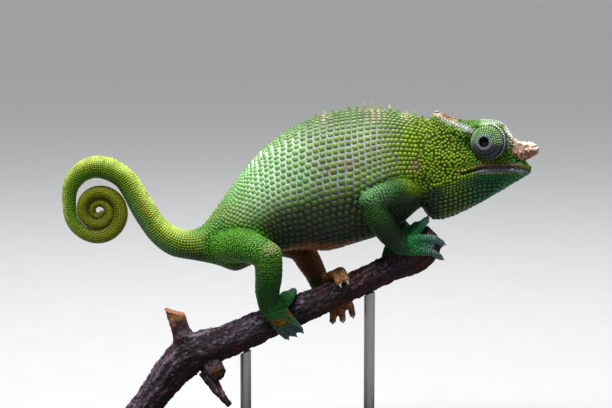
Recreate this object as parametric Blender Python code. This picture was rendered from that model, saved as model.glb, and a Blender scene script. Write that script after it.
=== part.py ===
"""A Fischer's chameleon climbing a cut length of branch, as a life-size still model on a display stand.

Lengths are in millimetres until as_object() turns them into metres. The animal faces +X, its right
side is toward -Y and +Z is up. The origin is on the floor, under the middle of the base plate.
"""

import math

import bmesh
import bpy
import numpy as np

MM = 0.001
GAP = 0.3
WELD = 1e-7

# Neck, trunk and rising tail, one row per section across the body, from inside the head back:
# the place on the back (x, z), the place on the belly (x, z) and the half width
BODY = (
    (59.0, 131.8, 57.0, 102.0, 8.6),
    (50.8, 133.2, 48.4, 98.0, 9.2),
    (42.4, 135.4, 40.2, 91.2, 10.4),
    (32.2, 137.3, 31.0, 86.4, 11.8),
    (22.0, 137.3, 21.4, 83.2, 12.8),
    (11.6, 135.6, 11.4, 80.4, 13.2),
    (1.6, 132.4, 2.0, 80.8, 12.8),
    (-8.8, 126.3, -6.8, 80.0, 11.8),
    (-18.8, 117.4, -14.4, 77.4, 10.6),
    (-28.0, 105.4, -21.0, 73.8, 9.2),
    (-34.4, 96.6, -26.6, 72.2, 8.0),
    (-39.4, 90.4, -34.0, 74.8, 6.8),
    (-45.0, 88.8, -43.6, 76.6, 5.9),
    (-49.8, 90.0, -52.0, 78.4, 5.5),
    (-54.0, 93.2, -59.6, 84.0, 5.2),
    (-57.8, 98.8, -66.2, 93.4, 5.0),
    (-62.0, 105.6, -70.4, 101.6, 4.8),
    (-65.4, 111.0, -73.0, 105.8, 4.6),
    (-69.6, 114.8, -75.6, 107.8, 4.5),
    (-74.6, 117.6, -78.4, 109.0, 4.4),
    (-81.2, 118.8, -81.6, 109.5, 4.2),
    (-87.2, 117.0, -84.7, 108.6, 3.9),
    (-91.4, 113.6, -87.0, 106.8, 3.5),
    (-94.2, 109.4, -88.6, 104.6, 3.2),
    (-95.3, 103.4, -89.4, 101.0, 2.9),
    (-95.05, 96.4, -89.35, 96.4, 2.7),
)
# The curled end of the tail: a spiral of flat turns about its own centre
COIL_X, COIL_Z = -80.6, 96.4
COIL_TURN = math.radians(900)
COIL_OUTER, COIL_INNER = 11.6, 1.6
COIL_TIGHTENS = 1.45
COIL_HALF_DEPTH, COIL_TIP_HALF_DEPTH, COIL_THINS = 2.85, 0.7, 1.1
COIL_ROUNDNESS = 0.95
STATION_STEPS = 600

# Where the body is divided, as lengths back from the nape
NECK_END, TORSO_END, TAIL_BASE_END, TAIL_RISE_END, TAIL_ARCH_END = 12.0, 92.0, 112.0, 150.0, 187.0
COIL_SPLIT = 0.42
# Spacing of the rings that clear the legs from the body, and the number of places round them
CLEAR_SPACING, CLEAR_SIDES = 5.0, 24
LIMB_SIDES, LIMB_RINGS = 12, 6
RIDGE_SHARPNESS = 1.3
BELLY_SAG = 0.14
TRUNK_DEPTH, TAIL_DEPTH = 18.0, 6.0

# Crest of the back: tall spines over the shoulders, then a row of small points
SPINE_FIRST, SPINE_LAST, SPINE_SPACING, SPINE_HEIGHT, SPINE_WIDTH = 2.0, 46.8, 3.2, 2.5, 0.8
POINT_SPACING, POINT_HEIGHT, POINT_WIDTH = 2.8, 0.7, 0.8
SPINE_LEAN, SPINE_ROOT, SPINE_POINT = 0.35, 1.2, 0.25

# The head, in stations from the nape to the tip of the lip. Each row follows one feature line of one
# half: how far out it runs, or how high.
HEAD = {
    "x": (50.0, 53.6, 59.5, 65.5, 71.5, 77.5, 83.0, 87.4, 91.2),
    "ridge_z": (133.2, 136.6, 134.6, 133.2, 133.3, 132.9, 129.2, 120.8, 114.6),
    "roof_y": (3.0, 2.0, 3.4, 4.4, 4.6, 4.4, 3.2, 2.4, 1.4),
    "roof_z": (131.8, 135.2, 132.6, 130.6, 132.2, 132.2, 128.2, 120.4, 114.5),
    "crest_y": (5.6, 4.4, 6.8, 8.0, 8.6, 8.2, 6.0, 4.2, 2.4),
    "crest_z": (129.0, 134.2, 131.2, 128.4, 131.6, 131.7, 126.6, 119.2, 114.3),
    "temple_y": (8.2, 7.6, 8.0, 7.6, 7.2, 6.6, 5.4, 4.6, 2.8),
    "temple_z": (123.0, 126.0, 125.4, 124.0, 125.0, 124.4, 121.0, 117.4, 114.0),
    "cheek_y": (9.2, 9.8, 10.4, 9.8, 8.6, 7.6, 6.4, 5.2, 3.0),
    "cheek_z": (115.0, 117.4, 117.8, 117.4, 117.6, 117.6, 117.0, 115.6, 113.8),
    "lip_y": (9.2, 10.0, 10.5, 10.0, 9.2, 8.2, 7.0, 5.6, 3.2),
    "mouth_z": (108.0, 109.6, 111.2, 112.8, 114.4, 114.7, 114.5, 114.0, 113.0),
    "jaw_y": (9.0, 9.7, 9.9, 9.2, 8.3, 7.4, 6.2, 4.8, 2.4),
    "jaw_z": (104.6, 105.2, 106.4, 107.6, 109.2, 110.4, 111.0, 111.2, 111.7),
    "throat_y": (5.6, 6.2, 6.2, 5.8, 5.3, 4.7, 3.9, 3.0, 1.5),
    "throat_side_z": (99.6, 96.6, 96.8, 98.9, 101.6, 104.6, 107.4, 109.5, 111.3),
    "throat_z": (97.8, 93.0, 93.6, 96.2, 99.3, 102.7, 106.1, 108.8, 111.2),
}
# The tips of the lips: how far beyond the last station, and how much smaller than it
LIP_TIPS = ((0.55, 0.84), (0.95, 0.58), (1.15, 0.25))
NAPE_LEAN, NAPE_Z, NAPE_FADE = 0.068, 115.6, 6.0
LIP_HEIGHT, LIP_ROUND, LIP_GROOVE = 1.1, 0.45, 2.2
JAW_INSET, JAW_THINS = 0.3, 5.0
SKULL_STATIONS, SKULL_ACROSS, JAW_STATIONS, JAW_ACROSS = 23, 22, 19, 16
MOUTH_CORNER_X, MOUTH_OPENS = 63.6, 5.0

# Each turret: the middle of its foot, and how far it looks back (the far one looks forward)
EYES = {
    "right": ((74.4, -6.2, 124.8), math.radians(21)),
    "left": ((76.4, 6.2, 124.4), math.radians(-36)),
}
EYE_UP = 0.04
# A turret of lids: distance from its axis, height along it, down to the pit that holds the eyeball
TURRET = (
    (0.0, -2.6), (6.4, -2.6), (7.1, 0.2), (7.3, 1.6), (7.1, 2.6), (6.6, 3.0), (6.2, 2.7), (5.9, 3.7),
    (5.1, 5.4), (4.0, 6.5), (2.9, 7.1), (2.2, 7.1), (1.85, 6.6), (2.45, 5.9), (2.45, 4.6), (0.0, 4.1),
)
SOCKET_RIM, TURRET_SIDES, EYEBALL_SIDES = 8.0, 24, 12
EYEBALL_HEIGHT, EYEBALL_RADIUS, EYEBALL_HALF_DEPTH = 5.7, 2.1, 1.25
# A nostril: from outside the snout to inside it
NOSTRIL_FROM, NOSTRIL_TO, NOSTRIL_RADIUS = (85.2, 7.0, 118.6), (84.2, 3.4, 118.6), 0.65

# A horn of the snout, from its root forward: x, y, z, half height, half width
HORN = (
    (80.5, 3.4, 123.2, 5.0, 1.9),
    (84.4, 3.7, 122.3, 5.4, 2.0),
    (87.4, 4.0, 121.0, 4.1, 1.9),
    (90.2, 4.4, 120.8, 3.0, 1.6),
    (92.6, 4.8, 121.4, 2.1, 1.3),
    (93.8, 4.9, 121.8, 1.5, 0.9),
)
HORN_LEAN, HORN_RINGS, HORN_SIDES = 0.35, 11, 12
KNOB_RADIUS, KNOB_TIP, KNOB_ROOT, KNOB_HEIGHT, KNOBS = 0.75, 0.4, 1.0, 0.55, 6

# The branch, from its sawn foot to its broken upper end: x, z, half height, half depth
BRANCH = (
    (-73.0, 1.5, 6.8, 7.4),
    (-63.0, 16.0, 6.8, 7.6),
    (-55.6, 26.0, 7.2, 7.8),
    (-48.4, 34.6, 8.0, 8.0),
    (-40.0, 40.0, 8.0, 8.0),
    (-28.6, 43.8, 7.2, 7.4),
    (-11.6, 51.2, 6.7, 6.6),
    (2.6, 57.4, 6.4, 6.3),
    (18.2, 64.8, 5.9, 5.9),
    (36.4, 73.4, 6.2, 6.0),
    (45.2, 78.6, 8.2, 6.6),
    (50.2, 83.2, 7.6, 6.4),
    (54.2, 87.2, 5.2, 5.0),
)
BRANCH_FOOT_Z = 10.8
BRANCH_RINGS, BRANCH_SIDES, SHOOT_SIDES, WASTE = 30, 14, 10, 40.0
# Broken side shoots of the branch: x, y, z, radius
STUB = ((-45.4, 0.0, 40.0, 5.4), (-47.6, 0.0, 47.0, 4.6), (-49.8, 0.0, 54.6, 4.3))
SAWN_KNOT = ((-36.0, -2.0, 35.0, 4.4), (-32.6, -9.6, 32.0, 3.6))
TWIG = ((-38.0, -3.0, 32.0, 3.4), (-33.0, -7.6, 25.0, 2.4), (-28.0, -9.0, 19.0, 1.5))

# Limbs, from the trunk outward, for the right side: x, y, z, radius
FORE_UPPER = (
    (43.6, -4.0, 105.0, 5.0),
    (39.6, -10.6, 105.4, 5.2),
    (33.0, -15.0, 104.4, 4.9),
    (27.4, -16.4, 102.2, 4.5),
)
FORE_LOWER = (
    (27.6, -16.4, 101.8, 4.5),
    (30.6, -15.6, 95.8, 5.2),
    (35.0, -13.4, 89.2, 4.8),
    (39.6, -11.6, 84.4, 4.2),
)
FAR_FORE_UPPER = (
    (43.6, 4.0, 105.0, 5.0),
    (39.6, 10.8, 104.6, 5.0),
    (34.0, 15.4, 102.4, 4.7),
    (29.6, 16.6, 99.6, 4.4),
)
FAR_FORE_LOWER = (
    (29.6, 16.6, 99.2, 4.4),
    (33.2, 15.0, 94.6, 4.7),
    (37.6, 12.4, 90.6, 4.2),
    (41.4, 10.2, 88.0, 3.7),
)
HIND_UPPER = (
    (-30.0, -3.0, 83.0, 7.2),
    (-23.0, -9.4, 83.6, 6.9),
    (-17.0, -14.0, 82.8, 6.2),
    (-12.4, -16.4, 80.8, 5.6),
)
HIND_LOWER = (
    (-12.4, -16.4, 80.4, 5.6),
    (-12.2, -15.8, 73.0, 5.5),
    (-12.8, -13.6, 66.6, 5.0),
    (-12.4, -11.0, 60.6, 4.5),
)
FAR_HIND_UPPER = (
    (-28.0, 3.0, 83.4, 7.0),
    (-18.0, 9.4, 84.0, 6.7),
    (-7.0, 13.4, 81.8, 6.1),
    (0.6, 14.0, 79.2, 5.5),
)
FAR_HIND_LOWER = (
    (0.6, 14.0, 78.8, 5.5),
    (3.6, 12.8, 74.0, 5.2),
    (6.2, 10.8, 69.4, 4.6),
    (8.2, 9.0, 65.2, 4.2),
)

# Feet: the palm and then each toe from its root to its tip, before they are laid on the bark
FORE_PALM = ((39.4, -11.6, 84.4, 4.1), (42.0, -10.6, 84.0, 3.9), (44.4, -9.8, 83.6, 3.2))
FORE_TOES = (
    ((42.0, -11.6, 85.6), (47.4, -10.8, 86.6), (52.6, -9.8, 86.6), (56.4, -6.6, 84.4)),
    ((42.0, -12.0, 82.2), (47.4, -11.4, 81.8), (52.2, -10.2, 81.2), (55.8, -6.8, 78.6)),
    ((40.6, -8.6, 86.4), (42.0, -5.4, 88.8), (43.0, -1.6, 89.6), (42.8, 2.0, 88.0)),
    ((43.2, -8.6, 87.0), (45.4, -5.4, 89.8), (46.8, -1.6, 90.8), (46.8, 2.0, 89.4)),
    ((45.0, -8.6, 87.0), (48.2, -5.4, 91.0), (50.4, -1.6, 92.4), (50.6, 1.8, 91.4)),
)
FAR_FORE_PALM = ((41.2, 10.4, 88.0, 3.7), (42.8, 9.6, 85.2, 3.6), (43.6, 9.2, 83.0, 3.0))
FAR_FORE_TOES = (
    ((43.4, 10.4, 85.0), (48.6, 10.0, 85.0), (53.2, 9.2, 84.6), (56.2, 6.4, 82.4)),
    ((43.0, 10.8, 82.0), (47.8, 10.4, 80.6), (52.0, 9.4, 79.8), (55.4, 6.2, 77.8)),
    ((40.4, 9.8, 82.6), (38.8, 9.6, 79.6), (37.8, 8.8, 76.0), (37.4, 7.4, 72.0)),
    ((42.8, 9.8, 81.6), (41.8, 9.6, 78.6), (41.4, 8.8, 75.4), (41.4, 7.6, 72.0)),
    ((37.8, 9.8, 83.8), (35.6, 9.0, 79.6), (34.2, 8.2, 75.0), (33.8, 7.0, 71.0)),
)
HIND_PALM = ((-12.4, -11.0, 60.6, 4.4), (-10.0, -10.4, 57.2, 4.4), (-7.8, -9.8, 54.0, 3.6))
HIND_TOES = (
    ((-11.0, -10.6, 56.0), (-9.8, -9.8, 52.4), (-7.6, -8.6, 49.2), (-5.6, -6.4, 46.6)),
    ((-8.6, -10.6, 56.4), (-7.0, -9.8, 53.0), (-4.8, -8.8, 50.2), (-2.6, -6.8, 47.8)),
    ((-6.2, -10.6, 57.6), (-4.0, -9.8, 54.6), (-1.8, -9.0, 52.0), (0.2, -7.0, 49.4)),
    ((-9.4, -8.4, 60.2), (-7.4, -5.0, 61.8), (-5.8, -0.4, 62.4), (-5.4, 4.4, 59.6)),
    ((-6.6, -8.4, 59.6), (-4.0, -5.0, 62.0), (-2.4, -0.4, 63.2), (-2.2, 4.4, 60.4)),
)
FAR_HIND_PALM = ((8.2, 9.0, 65.2, 4.1), (11.0, 8.6, 63.6, 4.0), (13.2, 8.2, 62.2, 3.2))
FAR_HIND_TOES = (
    ((11.0, 9.4, 61.6), (12.2, 9.2, 57.6), (13.4, 6.4, 53.8), (13.2, 0.6, 51.6)),
    ((13.6, 9.2, 62.4), (15.2, 9.0, 58.6), (16.8, 6.2, 54.8), (17.2, 0.2, 52.2)),
    ((15.6, 8.8, 64.0), (18.2, 8.6, 60.4), (20.4, 6.0, 57.0), (21.2, 0.2, 54.2)),
    ((10.6, 6.4, 67.6), (12.4, 3.0, 69.6), (14.4, -1.6, 70.2), (15.8, -5.6, 67.8)),
    ((13.0, 6.4, 68.4), (15.4, 3.0, 70.8), (17.4, -1.6, 71.4), (18.8, -5.6, 69.0)),
)
TOE_ROOT, TOE_TIP = 2.1, 1.5
# The stretches of the body, as lengths back from the nape, that the fore and hind legs grow from
FORE_RANGE, HIND_RANGE = (0.0, 45.0), (55.0, 112.0)
CLAW_LENGTH, CLAW_RADIUS, CLAW_POINT = 1.4, 0.7, 0.25

BASE_LENGTH, BASE_DEPTH, BASE_HEIGHT, BASE_CORNER, BASE_EDGE = 150.0, 62.0, 8.0, 10.0, 1.2
ROD_RADIUS, ROD_SIDES, ROD_X = 2.2, 16, (-22.0, 28.0)

COLOURS = {
    "skin": ((0.20, 0.36, 0.06), 0.55),
    "turret": ((0.22, 0.34, 0.20), 0.5),
    "eyeball": ((0.01, 0.01, 0.01), 0.08),
    "horn": ((0.72, 0.58, 0.44), 0.5),
    "bark": ((0.13, 0.09, 0.09), 0.85),
    "stand": ((0.05, 0.045, 0.04), 0.4),
    "rod": ((0.35, 0.35, 0.36), 0.3),
}


def smooth(keys, at):
    """A curve through every row of keys, read at places counted in rows (Catmull-Rom)."""
    keys = np.asarray(keys, float)
    if keys.ndim == 1:
        keys = keys[:, None]
    keys = np.vstack((2 * keys[0] - keys[1], keys, 2 * keys[-1] - keys[-2]))
    at = np.clip(np.asarray(at, float), 0, len(keys) - 3)
    row = np.minimum(at.astype(int), len(keys) - 4)
    t = (at - row)[:, None]
    before, start, end, after = (keys[row + step] for step in range(4))
    slope = end - before
    bend = 2 * before - 5 * start + 4 * end - after
    twist = 3 * (start - end) + after - before
    return start + 0.5 * t * (slope + t * (bend + t * twist))


def evenly(route, count):
    """Rows spread evenly by length along the smooth curve through a route that starts with x, y, z."""
    dense = smooth(route, np.linspace(0, len(route) - 1, 30 * len(route)))
    steps = np.linalg.norm(np.diff(dense[:, :3], axis=0), axis=1)
    length = np.concatenate(([0.0], np.cumsum(steps)))
    wanted = np.linspace(0, length[-1], count)
    return np.column_stack([np.interp(wanted, length, column) for column in dense.T])


def unit(rows):
    return rows / np.linalg.norm(rows, axis=-1, keepdims=True)


def body_line():
    """The animal's sections, dense: rows as in BODY, and the length of the middle line up to each."""
    stations = smooth(BODY, np.linspace(1, len(BODY) - 1, STATION_STEPS))
    s = np.linspace(0, 1, STATION_STEPS)[1:]
    turn = math.pi / 2 + COIL_TURN * s
    radius = COIL_INNER + (COIL_OUTER - COIL_INNER) * (1 - s) ** COIL_TIGHTENS
    depth = COIL_HALF_DEPTH + (COIL_TIP_HALF_DEPTH - COIL_HALF_DEPTH) * s**COIL_THINS
    outward = np.column_stack((-np.sin(turn), np.cos(turn)))
    centre = np.array((COIL_X, COIL_Z))
    back = centre + outward * (radius + depth)[:, None]
    belly = centre + outward * (radius - depth)[:, None]
    rows = np.vstack((stations, np.column_stack((back, belly, COIL_ROUNDNESS * depth))))
    middle = (rows[:, :2] + rows[:, 2:4]) / 2
    length = np.concatenate(([0.0], np.cumsum(np.hypot(*np.diff(middle, axis=0).T))))
    return rows, length


LINE, LENGTH = body_line()
BODY_LENGTH = LENGTH[-1]
COIL_START = LENGTH[STATION_STEPS - 1]


def body_rings(lengths, sides, grow=0.0):
    """Rings across the body at lengths back from the nape.

    Each ring is an oval pinched toward the crest of the back and sagging toward the belly in the
    trunk, and plain in the tail. grow moves it outward.
    """
    back_x, back_z, belly_x, belly_z, width = (np.interp(lengths, LENGTH, column) for column in LINE.T)
    half = np.column_stack((back_x - belly_x, back_z - belly_z)) / 2
    depth = np.hypot(*half.T)
    up_way = half / depth[:, None]
    trunk = np.clip((depth - TAIL_DEPTH) / (TRUNK_DEPTH - TAIL_DEPTH), 0, 1)[:, None]
    angle = np.linspace(0, 2 * math.pi, sides, endpoint=False)[None, :] + math.pi / 2
    cos, sin = np.cos(angle), np.sin(angle)
    pinch = 1 + (RIDGE_SHARPNESS - 1) * trunk * (sin > 0)
    across = (width[:, None] + grow) * np.sign(cos) * np.abs(cos) ** pinch
    up = (depth[:, None] + grow) * (sin - BELLY_SAG * trunk * cos**2)
    x = (back_x + belly_x)[:, None] / 2 + up_way[:, :1] * up
    z = (back_z + belly_z)[:, None] / 2 + up_way[:, 1:] * up
    return np.stack((x, across, z), axis=-1)


def loft(rings):
    """Points and faces of a closed skin over rings, with a fan over each end."""
    count, sides, _ = rings.shape
    points = np.vstack((rings.reshape(-1, 3), rings[0].mean(axis=0), rings[-1].mean(axis=0)))
    start, end = count * sides, count * sides + 1
    faces = []
    for ring in range(count - 1):
        for side in range(sides):
            near, far = ring * sides + side, ring * sides + (side + 1) % sides
            faces.append((near, far, far + sides, near + sides))
    last = (count - 1) * sides
    for side in range(sides):
        following = (side + 1) % sides
        faces.append((following, side, start))
        faces.append((last + side, last + following, end))
    return points, faces


def tube(route, sides, count, domed=True, grow=0.0):
    """A limb through rows of x, y, z and radius, with a dome on each end."""
    rows = evenly(route, count)
    middle, radius = rows[:, :3], rows[:, 3] + grow
    along = unit(np.gradient(middle, axis=0))
    offset, scale = np.zeros(count), np.ones(count)
    if domed:
        rise = np.radians((72, 36))
        middle = np.vstack((middle[[0, 0]], middle, middle[[-1, -1]]))
        along = np.vstack((along[[0, 0]], along, along[[-1, -1]]))
        radius = np.concatenate((radius[[0, 0]], radius, radius[[-1, -1]]))
        offset = np.concatenate((-np.sin(rise), offset, np.sin(rise[::-1])))
        scale = np.concatenate((np.cos(rise), scale, np.cos(rise[::-1])))
    middle = middle + along * (offset * radius)[:, None]
    side = np.array((0.0, 0.0, 1.0)) if abs(along[0][2]) < 0.8 else np.array((1.0, 0.0, 0.0))
    angle = np.linspace(0, 2 * math.pi, sides, endpoint=False)
    rings = []
    for place, direction, size in zip(middle, along, radius * scale):
        side = unit(side - direction * np.dot(side, direction))
        other = np.cross(direction, side)
        rings.append(place + size * (np.outer(np.cos(angle), side) + np.outer(np.sin(angle), other)))
    return loft(np.array(rings))


def turned(profile, centre, axis, sides):
    """A closed shape turned round an axis from rows of distance and height that start and end on it."""
    profile = np.asarray(profile, float)
    axis = unit(np.asarray(axis, float))
    side = unit(np.cross(axis, (0.0, 0.0, 1.0)))
    other = np.cross(axis, side)
    angle = np.linspace(0, 2 * math.pi, sides, endpoint=False)
    round_it = np.outer(np.cos(angle), side) + np.outer(np.sin(angle), other)
    inner = profile[1:-1]
    rings = centre + inner[:, None, 1:] * axis + inner[:, None, :1] * round_it
    points, faces = loft(rings)
    points[-2] = centre + profile[0, 1] * axis
    points[-1] = centre + profile[-1, 1] * axis
    return points, faces


def cone(root, tip, radius, point, sides=5):
    """A spine or a claw from its root to its blunt tip."""
    return tube(((*root, radius), (*tip, point)), sides, 2, domed=False)


def as_object(name, shape, finish):
    """A named object in metres from points and faces, with its own material and outward faces."""
    points, faces = shape
    mesh = bpy.data.meshes.new(name)
    mesh.from_pydata((np.asarray(points) * MM).tolist(), [], faces)
    form = bmesh.new()
    form.from_mesh(mesh)
    bmesh.ops.recalc_face_normals(form, faces=form.faces)
    form.to_mesh(mesh)
    form.free()
    obj = bpy.data.objects.new(name, mesh)
    bpy.context.scene.collection.objects.link(obj)
    colour, roughness = COLOURS[finish]
    material = bpy.data.materials.new(name)
    material.use_nodes = True
    shader = material.node_tree.nodes["Principled BSDF"]
    shader.inputs["Base Color"].default_value = (*colour, 1.0)
    shader.inputs["Roughness"].default_value = roughness
    mesh.materials.append(material)
    return obj


def keep_largest(mesh):
    """Leaves a mesh only its closed surface of the greatest volume."""
    form = bmesh.new()
    form.from_mesh(mesh)
    form.verts.ensure_lookup_table()
    seen, surfaces = set(), []
    for first in form.verts:
        if first in seen:
            continue
        surface, waiting = set(), [first]
        while waiting:
            vert = waiting.pop()
            if vert in surface:
                continue
            surface.add(vert)
            waiting.extend(edge.other_vert(vert) for edge in vert.link_edges)
        seen |= surface
        surfaces.append(surface)

    def volume(surface):
        total = 0.0
        for face in {face for vert in surface for face in vert.link_faces}:
            corner = face.verts[0].co
            for one, two in zip(face.verts[1:-1], face.verts[2:]):
                total += corner.dot(one.co.cross(two.co)) / 6
        return abs(total)

    largest = max(surfaces, key=volume)
    bmesh.ops.delete(form, geom=[vert for vert in form.verts if vert not in largest], context="VERTS")
    bmesh.ops.dissolve_degenerate(form, dist=WELD, edges=form.edges)
    form.to_mesh(mesh)
    form.free()


def combine(target, others, operation):
    """Joins closed parts to the target, or cuts them out of it, with one Boolean over a collection."""
    group = bpy.data.collections.new("others")
    bpy.context.scene.collection.children.link(group)
    for other in others:
        bpy.context.scene.collection.objects.unlink(other)
        group.objects.link(other)
    modifier = target.modifiers.new("combine", "BOOLEAN")
    modifier.operation = operation
    modifier.operand_type = "COLLECTION"
    modifier.collection = group
    modifier.solver = "EXACT"
    evaluated = target.evaluated_get(bpy.context.evaluated_depsgraph_get())
    mesh = bpy.data.meshes.new_from_object(evaluated)
    target.modifiers.clear()
    target.data = mesh
    keep_largest(mesh)
    for other in others:
        bpy.data.objects.remove(other)
    bpy.data.collections.remove(group)


def rounded(obj, angle=40):
    obj.data.shade_smooth()
    obj.data.set_sharp_from_angle(angle=math.radians(angle))


def body_part(name, start, end, spacing, sides, grow=0.0, finish="skin"):
    """A stretch of the body between two lengths back from the nape."""
    count = max(3, 1 + round((end - start) / spacing))
    return as_object(name, loft(body_rings(np.linspace(start, end, count), sides, grow)), finish)


def crest(start, end):
    """Spines along the ridge of the back between two lengths, rooted inside it and leaning back."""
    spines = []
    place = start
    while place < end:
        ring = body_rings([place], 4)[0]
        top, up = ring[0], unit(ring[0] - ring[2])
        back = np.array((-up[2], 0.0, up[0]))
        tall = place < SPINE_LAST
        rise = 0.7 + 0.3 * math.sin(math.pi * place / SPINE_LAST)
        height, width = (SPINE_HEIGHT * rise, SPINE_WIDTH) if tall else (POINT_HEIGHT, POINT_WIDTH)
        tip = top + height * (up + SPINE_LEAN * back)
        spines.append(as_object("spine", cone(top - up * SPINE_ROOT, tip, width, SPINE_POINT), "skin"))
        place += SPINE_SPACING if tall else POINT_SPACING
    return spines


def head_sections(rows):
    """The head's feature lines at places counted in stations: a dictionary of arrays."""
    table = np.column_stack([HEAD[name] for name in HEAD])
    return dict(zip(HEAD, smooth(table, rows).T))


def head_rings(half_points, x, across):
    """Closed rings from half sections given as (y, z) pairs of arrays, read across smoothly.

    The nape's plane leans with the neck, which fades out over the first part of the head. The tips of
    the lips are rounded by ever smaller copies of the last ring.
    """
    half = np.array([np.column_stack(pair) for pair in half_points]).transpose(1, 0, 2)
    places = np.linspace(0, half.shape[1] - 1, across)
    rings = []
    for station, keys in zip(x, half):
        right = smooth(keys, places)
        right[0, 0] = right[-1, 0] = 0.0
        ring = np.vstack((right, right[-2:0:-1] * (-1, 1)))
        fade = np.clip(1 - (station - HEAD["x"][0]) / NAPE_FADE, 0, 1)
        lean = NAPE_LEAN * (ring[:, 1] - NAPE_Z) * fade
        rings.append(np.column_stack((station + lean, ring)))
    last = rings[-1]
    middle = last.mean(axis=0)
    for forward, size in LIP_TIPS:
        rings.append(middle + (last - middle) * size + (forward, 0.0, 0.0))
    return np.array(rings)


def make_skull():
    """The casque, brows, cheeks and upper jaw above the line of the mouth, with sockets and nostrils."""
    f = head_sections(np.linspace(0, len(HEAD["x"]) - 1, SKULL_STATIONS))
    behind = np.clip((MOUTH_CORNER_X - f["x"]) / MOUTH_OPENS, 0, 1)
    bulge = LIP_ROUND * (1 - behind)
    zero = np.zeros_like(f["x"])
    floor = f["mouth_z"] + GAP / 2
    half = (
        (zero, f["ridge_z"]),
        (f["roof_y"], f["roof_z"]),
        (f["crest_y"], f["crest_z"]),
        (f["temple_y"], f["temple_z"]),
        (f["cheek_y"], f["cheek_z"]),
        (f["lip_y"] - bulge, floor + LIP_GROOVE * (0.6 + 0.4 * behind)),
        (f["lip_y"] + bulge, floor + 0.6 * LIP_HEIGHT),
        (f["lip_y"] - bulge, floor),
        (0.4 * f["lip_y"], floor),
        (zero, floor),
    )
    skull = as_object("skull", loft(head_rings(half, f["x"], SKULL_ACROSS)), "skin")
    cutters = [socket(word) for word in EYES]
    mirror = np.array((1, -1, 1))
    for side in (np.ones(3), mirror):
        route = [(*(np.array(place) * side), NOSTRIL_RADIUS) for place in (NOSTRIL_FROM, NOSTRIL_TO)]
        cutters.append(as_object("nostril", tube(route, 8, 2, domed=False), "skin"))
    combine(skull, cutters, "DIFFERENCE")
    rounded(skull)


def make_jaw():
    """The lower jaw and the throat below the line of the mouth."""
    f = head_sections(np.linspace(0, len(HEAD["x"]) - 1, JAW_STATIONS))
    open_here = 1 - np.clip((MOUTH_CORNER_X - f["x"]) / MOUTH_OPENS, 0, 1)
    zero = np.zeros_like(f["x"])
    top = f["mouth_z"] - GAP / 2
    lip_height = LIP_HEIGHT * np.minimum(1, f["lip_y"] / JAW_THINS)
    half = (
        (zero, top),
        (0.4 * f["lip_y"], top),
        (f["lip_y"] - LIP_ROUND * (JAW_INSET + open_here), top),
        (f["lip_y"] - LIP_ROUND * (JAW_INSET - 0.6 * open_here), top - lip_height),
        (f["jaw_y"], f["jaw_z"]),
        (f["throat_y"], f["throat_side_z"]),
        (zero, f["throat_z"]),
    )
    jaw = as_object("lower_jaw", loft(head_rings(half, f["x"], JAW_ACROSS)), "skin")
    rounded(jaw)


def eye_frame(word):
    """The middle of a turret's foot and the turret's axis, which points out to its own side."""
    centre, turn = EYES[word]
    return np.array(centre), np.array((-math.sin(turn), math.copysign(math.cos(turn), centre[1]), EYE_UP))


def socket(word):
    """The plain round pit that clears a turret."""
    centre, axis = eye_frame(word)
    wall = max(distance for distance, _ in TURRET) + GAP
    floor = TURRET[0][1] - GAP
    foot = TURRET[1][0] + GAP
    pit = ((0.0, floor), (foot, floor), (wall, 0.0), (wall, SOCKET_RIM), (0.0, SOCKET_RIM))
    return as_object("socket", turned(pit, centre, axis, TURRET_SIDES), "turret")


def make_eyes():
    """The two turrets of lids, each with its eyeball in its pit."""
    for word in EYES:
        centre, axis = eye_frame(word)
        rounded(as_object(f"eye_turret_{word}", turned(TURRET, centre, axis, TURRET_SIDES), "turret"), 60)
        rise = np.linspace(-math.pi / 2, math.pi / 2, 7)
        ball = np.column_stack(
            (EYEBALL_RADIUS * np.cos(rise), EYEBALL_HEIGHT + EYEBALL_HALF_DEPTH * np.sin(rise))
        )
        ball[[0, -1], 0] = 0.0
        rounded(as_object(f"eyeball_{word}", turned(ball, centre, axis, EYEBALL_SIDES), "eyeball"), 60)


def horn_shape(side):
    """Points and faces of one flat horn. side is -1 on the right and 1 on the left."""
    rows = smooth(HORN, np.linspace(0, len(HORN) - 1, HORN_RINGS))
    angle = np.linspace(0, 2 * math.pi, HORN_SIDES, endpoint=False)
    rings = [
        np.column_stack(
            (
                x - HORN_LEAN * high * np.sin(angle),
                side * (y + wide * np.cos(angle)),
                z + high * np.sin(angle),
            )
        )
        for x, y, z, high, wide in rows
    ]
    return loft(np.array(rings))


def make_horns():
    """Two short flat horns with knobs along their upper edge, rooted on the snout."""
    for side, word in ((-1, "right"), (1, "left")):
        horn = as_object(f"horn_{word}", horn_shape(side), "horn")
        knobs = []
        for place in np.linspace(1.4, len(HORN) - 1.1, KNOBS):
            x, y, z, high, _ = smooth(HORN, [place])[0]
            top = np.array((x - HORN_LEAN * high, side * y, z + high))
            up = np.array((0.0, 0.0, 1.0))
            knob = cone(top - KNOB_ROOT * up, top + KNOB_HEIGHT * up, KNOB_RADIUS, KNOB_TIP, 6)
            knobs.append(as_object("knob", knob, "horn"))
        combine(horn, knobs, "UNION")
        combine(horn, [grown_skull()], "DIFFERENCE")
        rounded(horn, 50)


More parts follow.
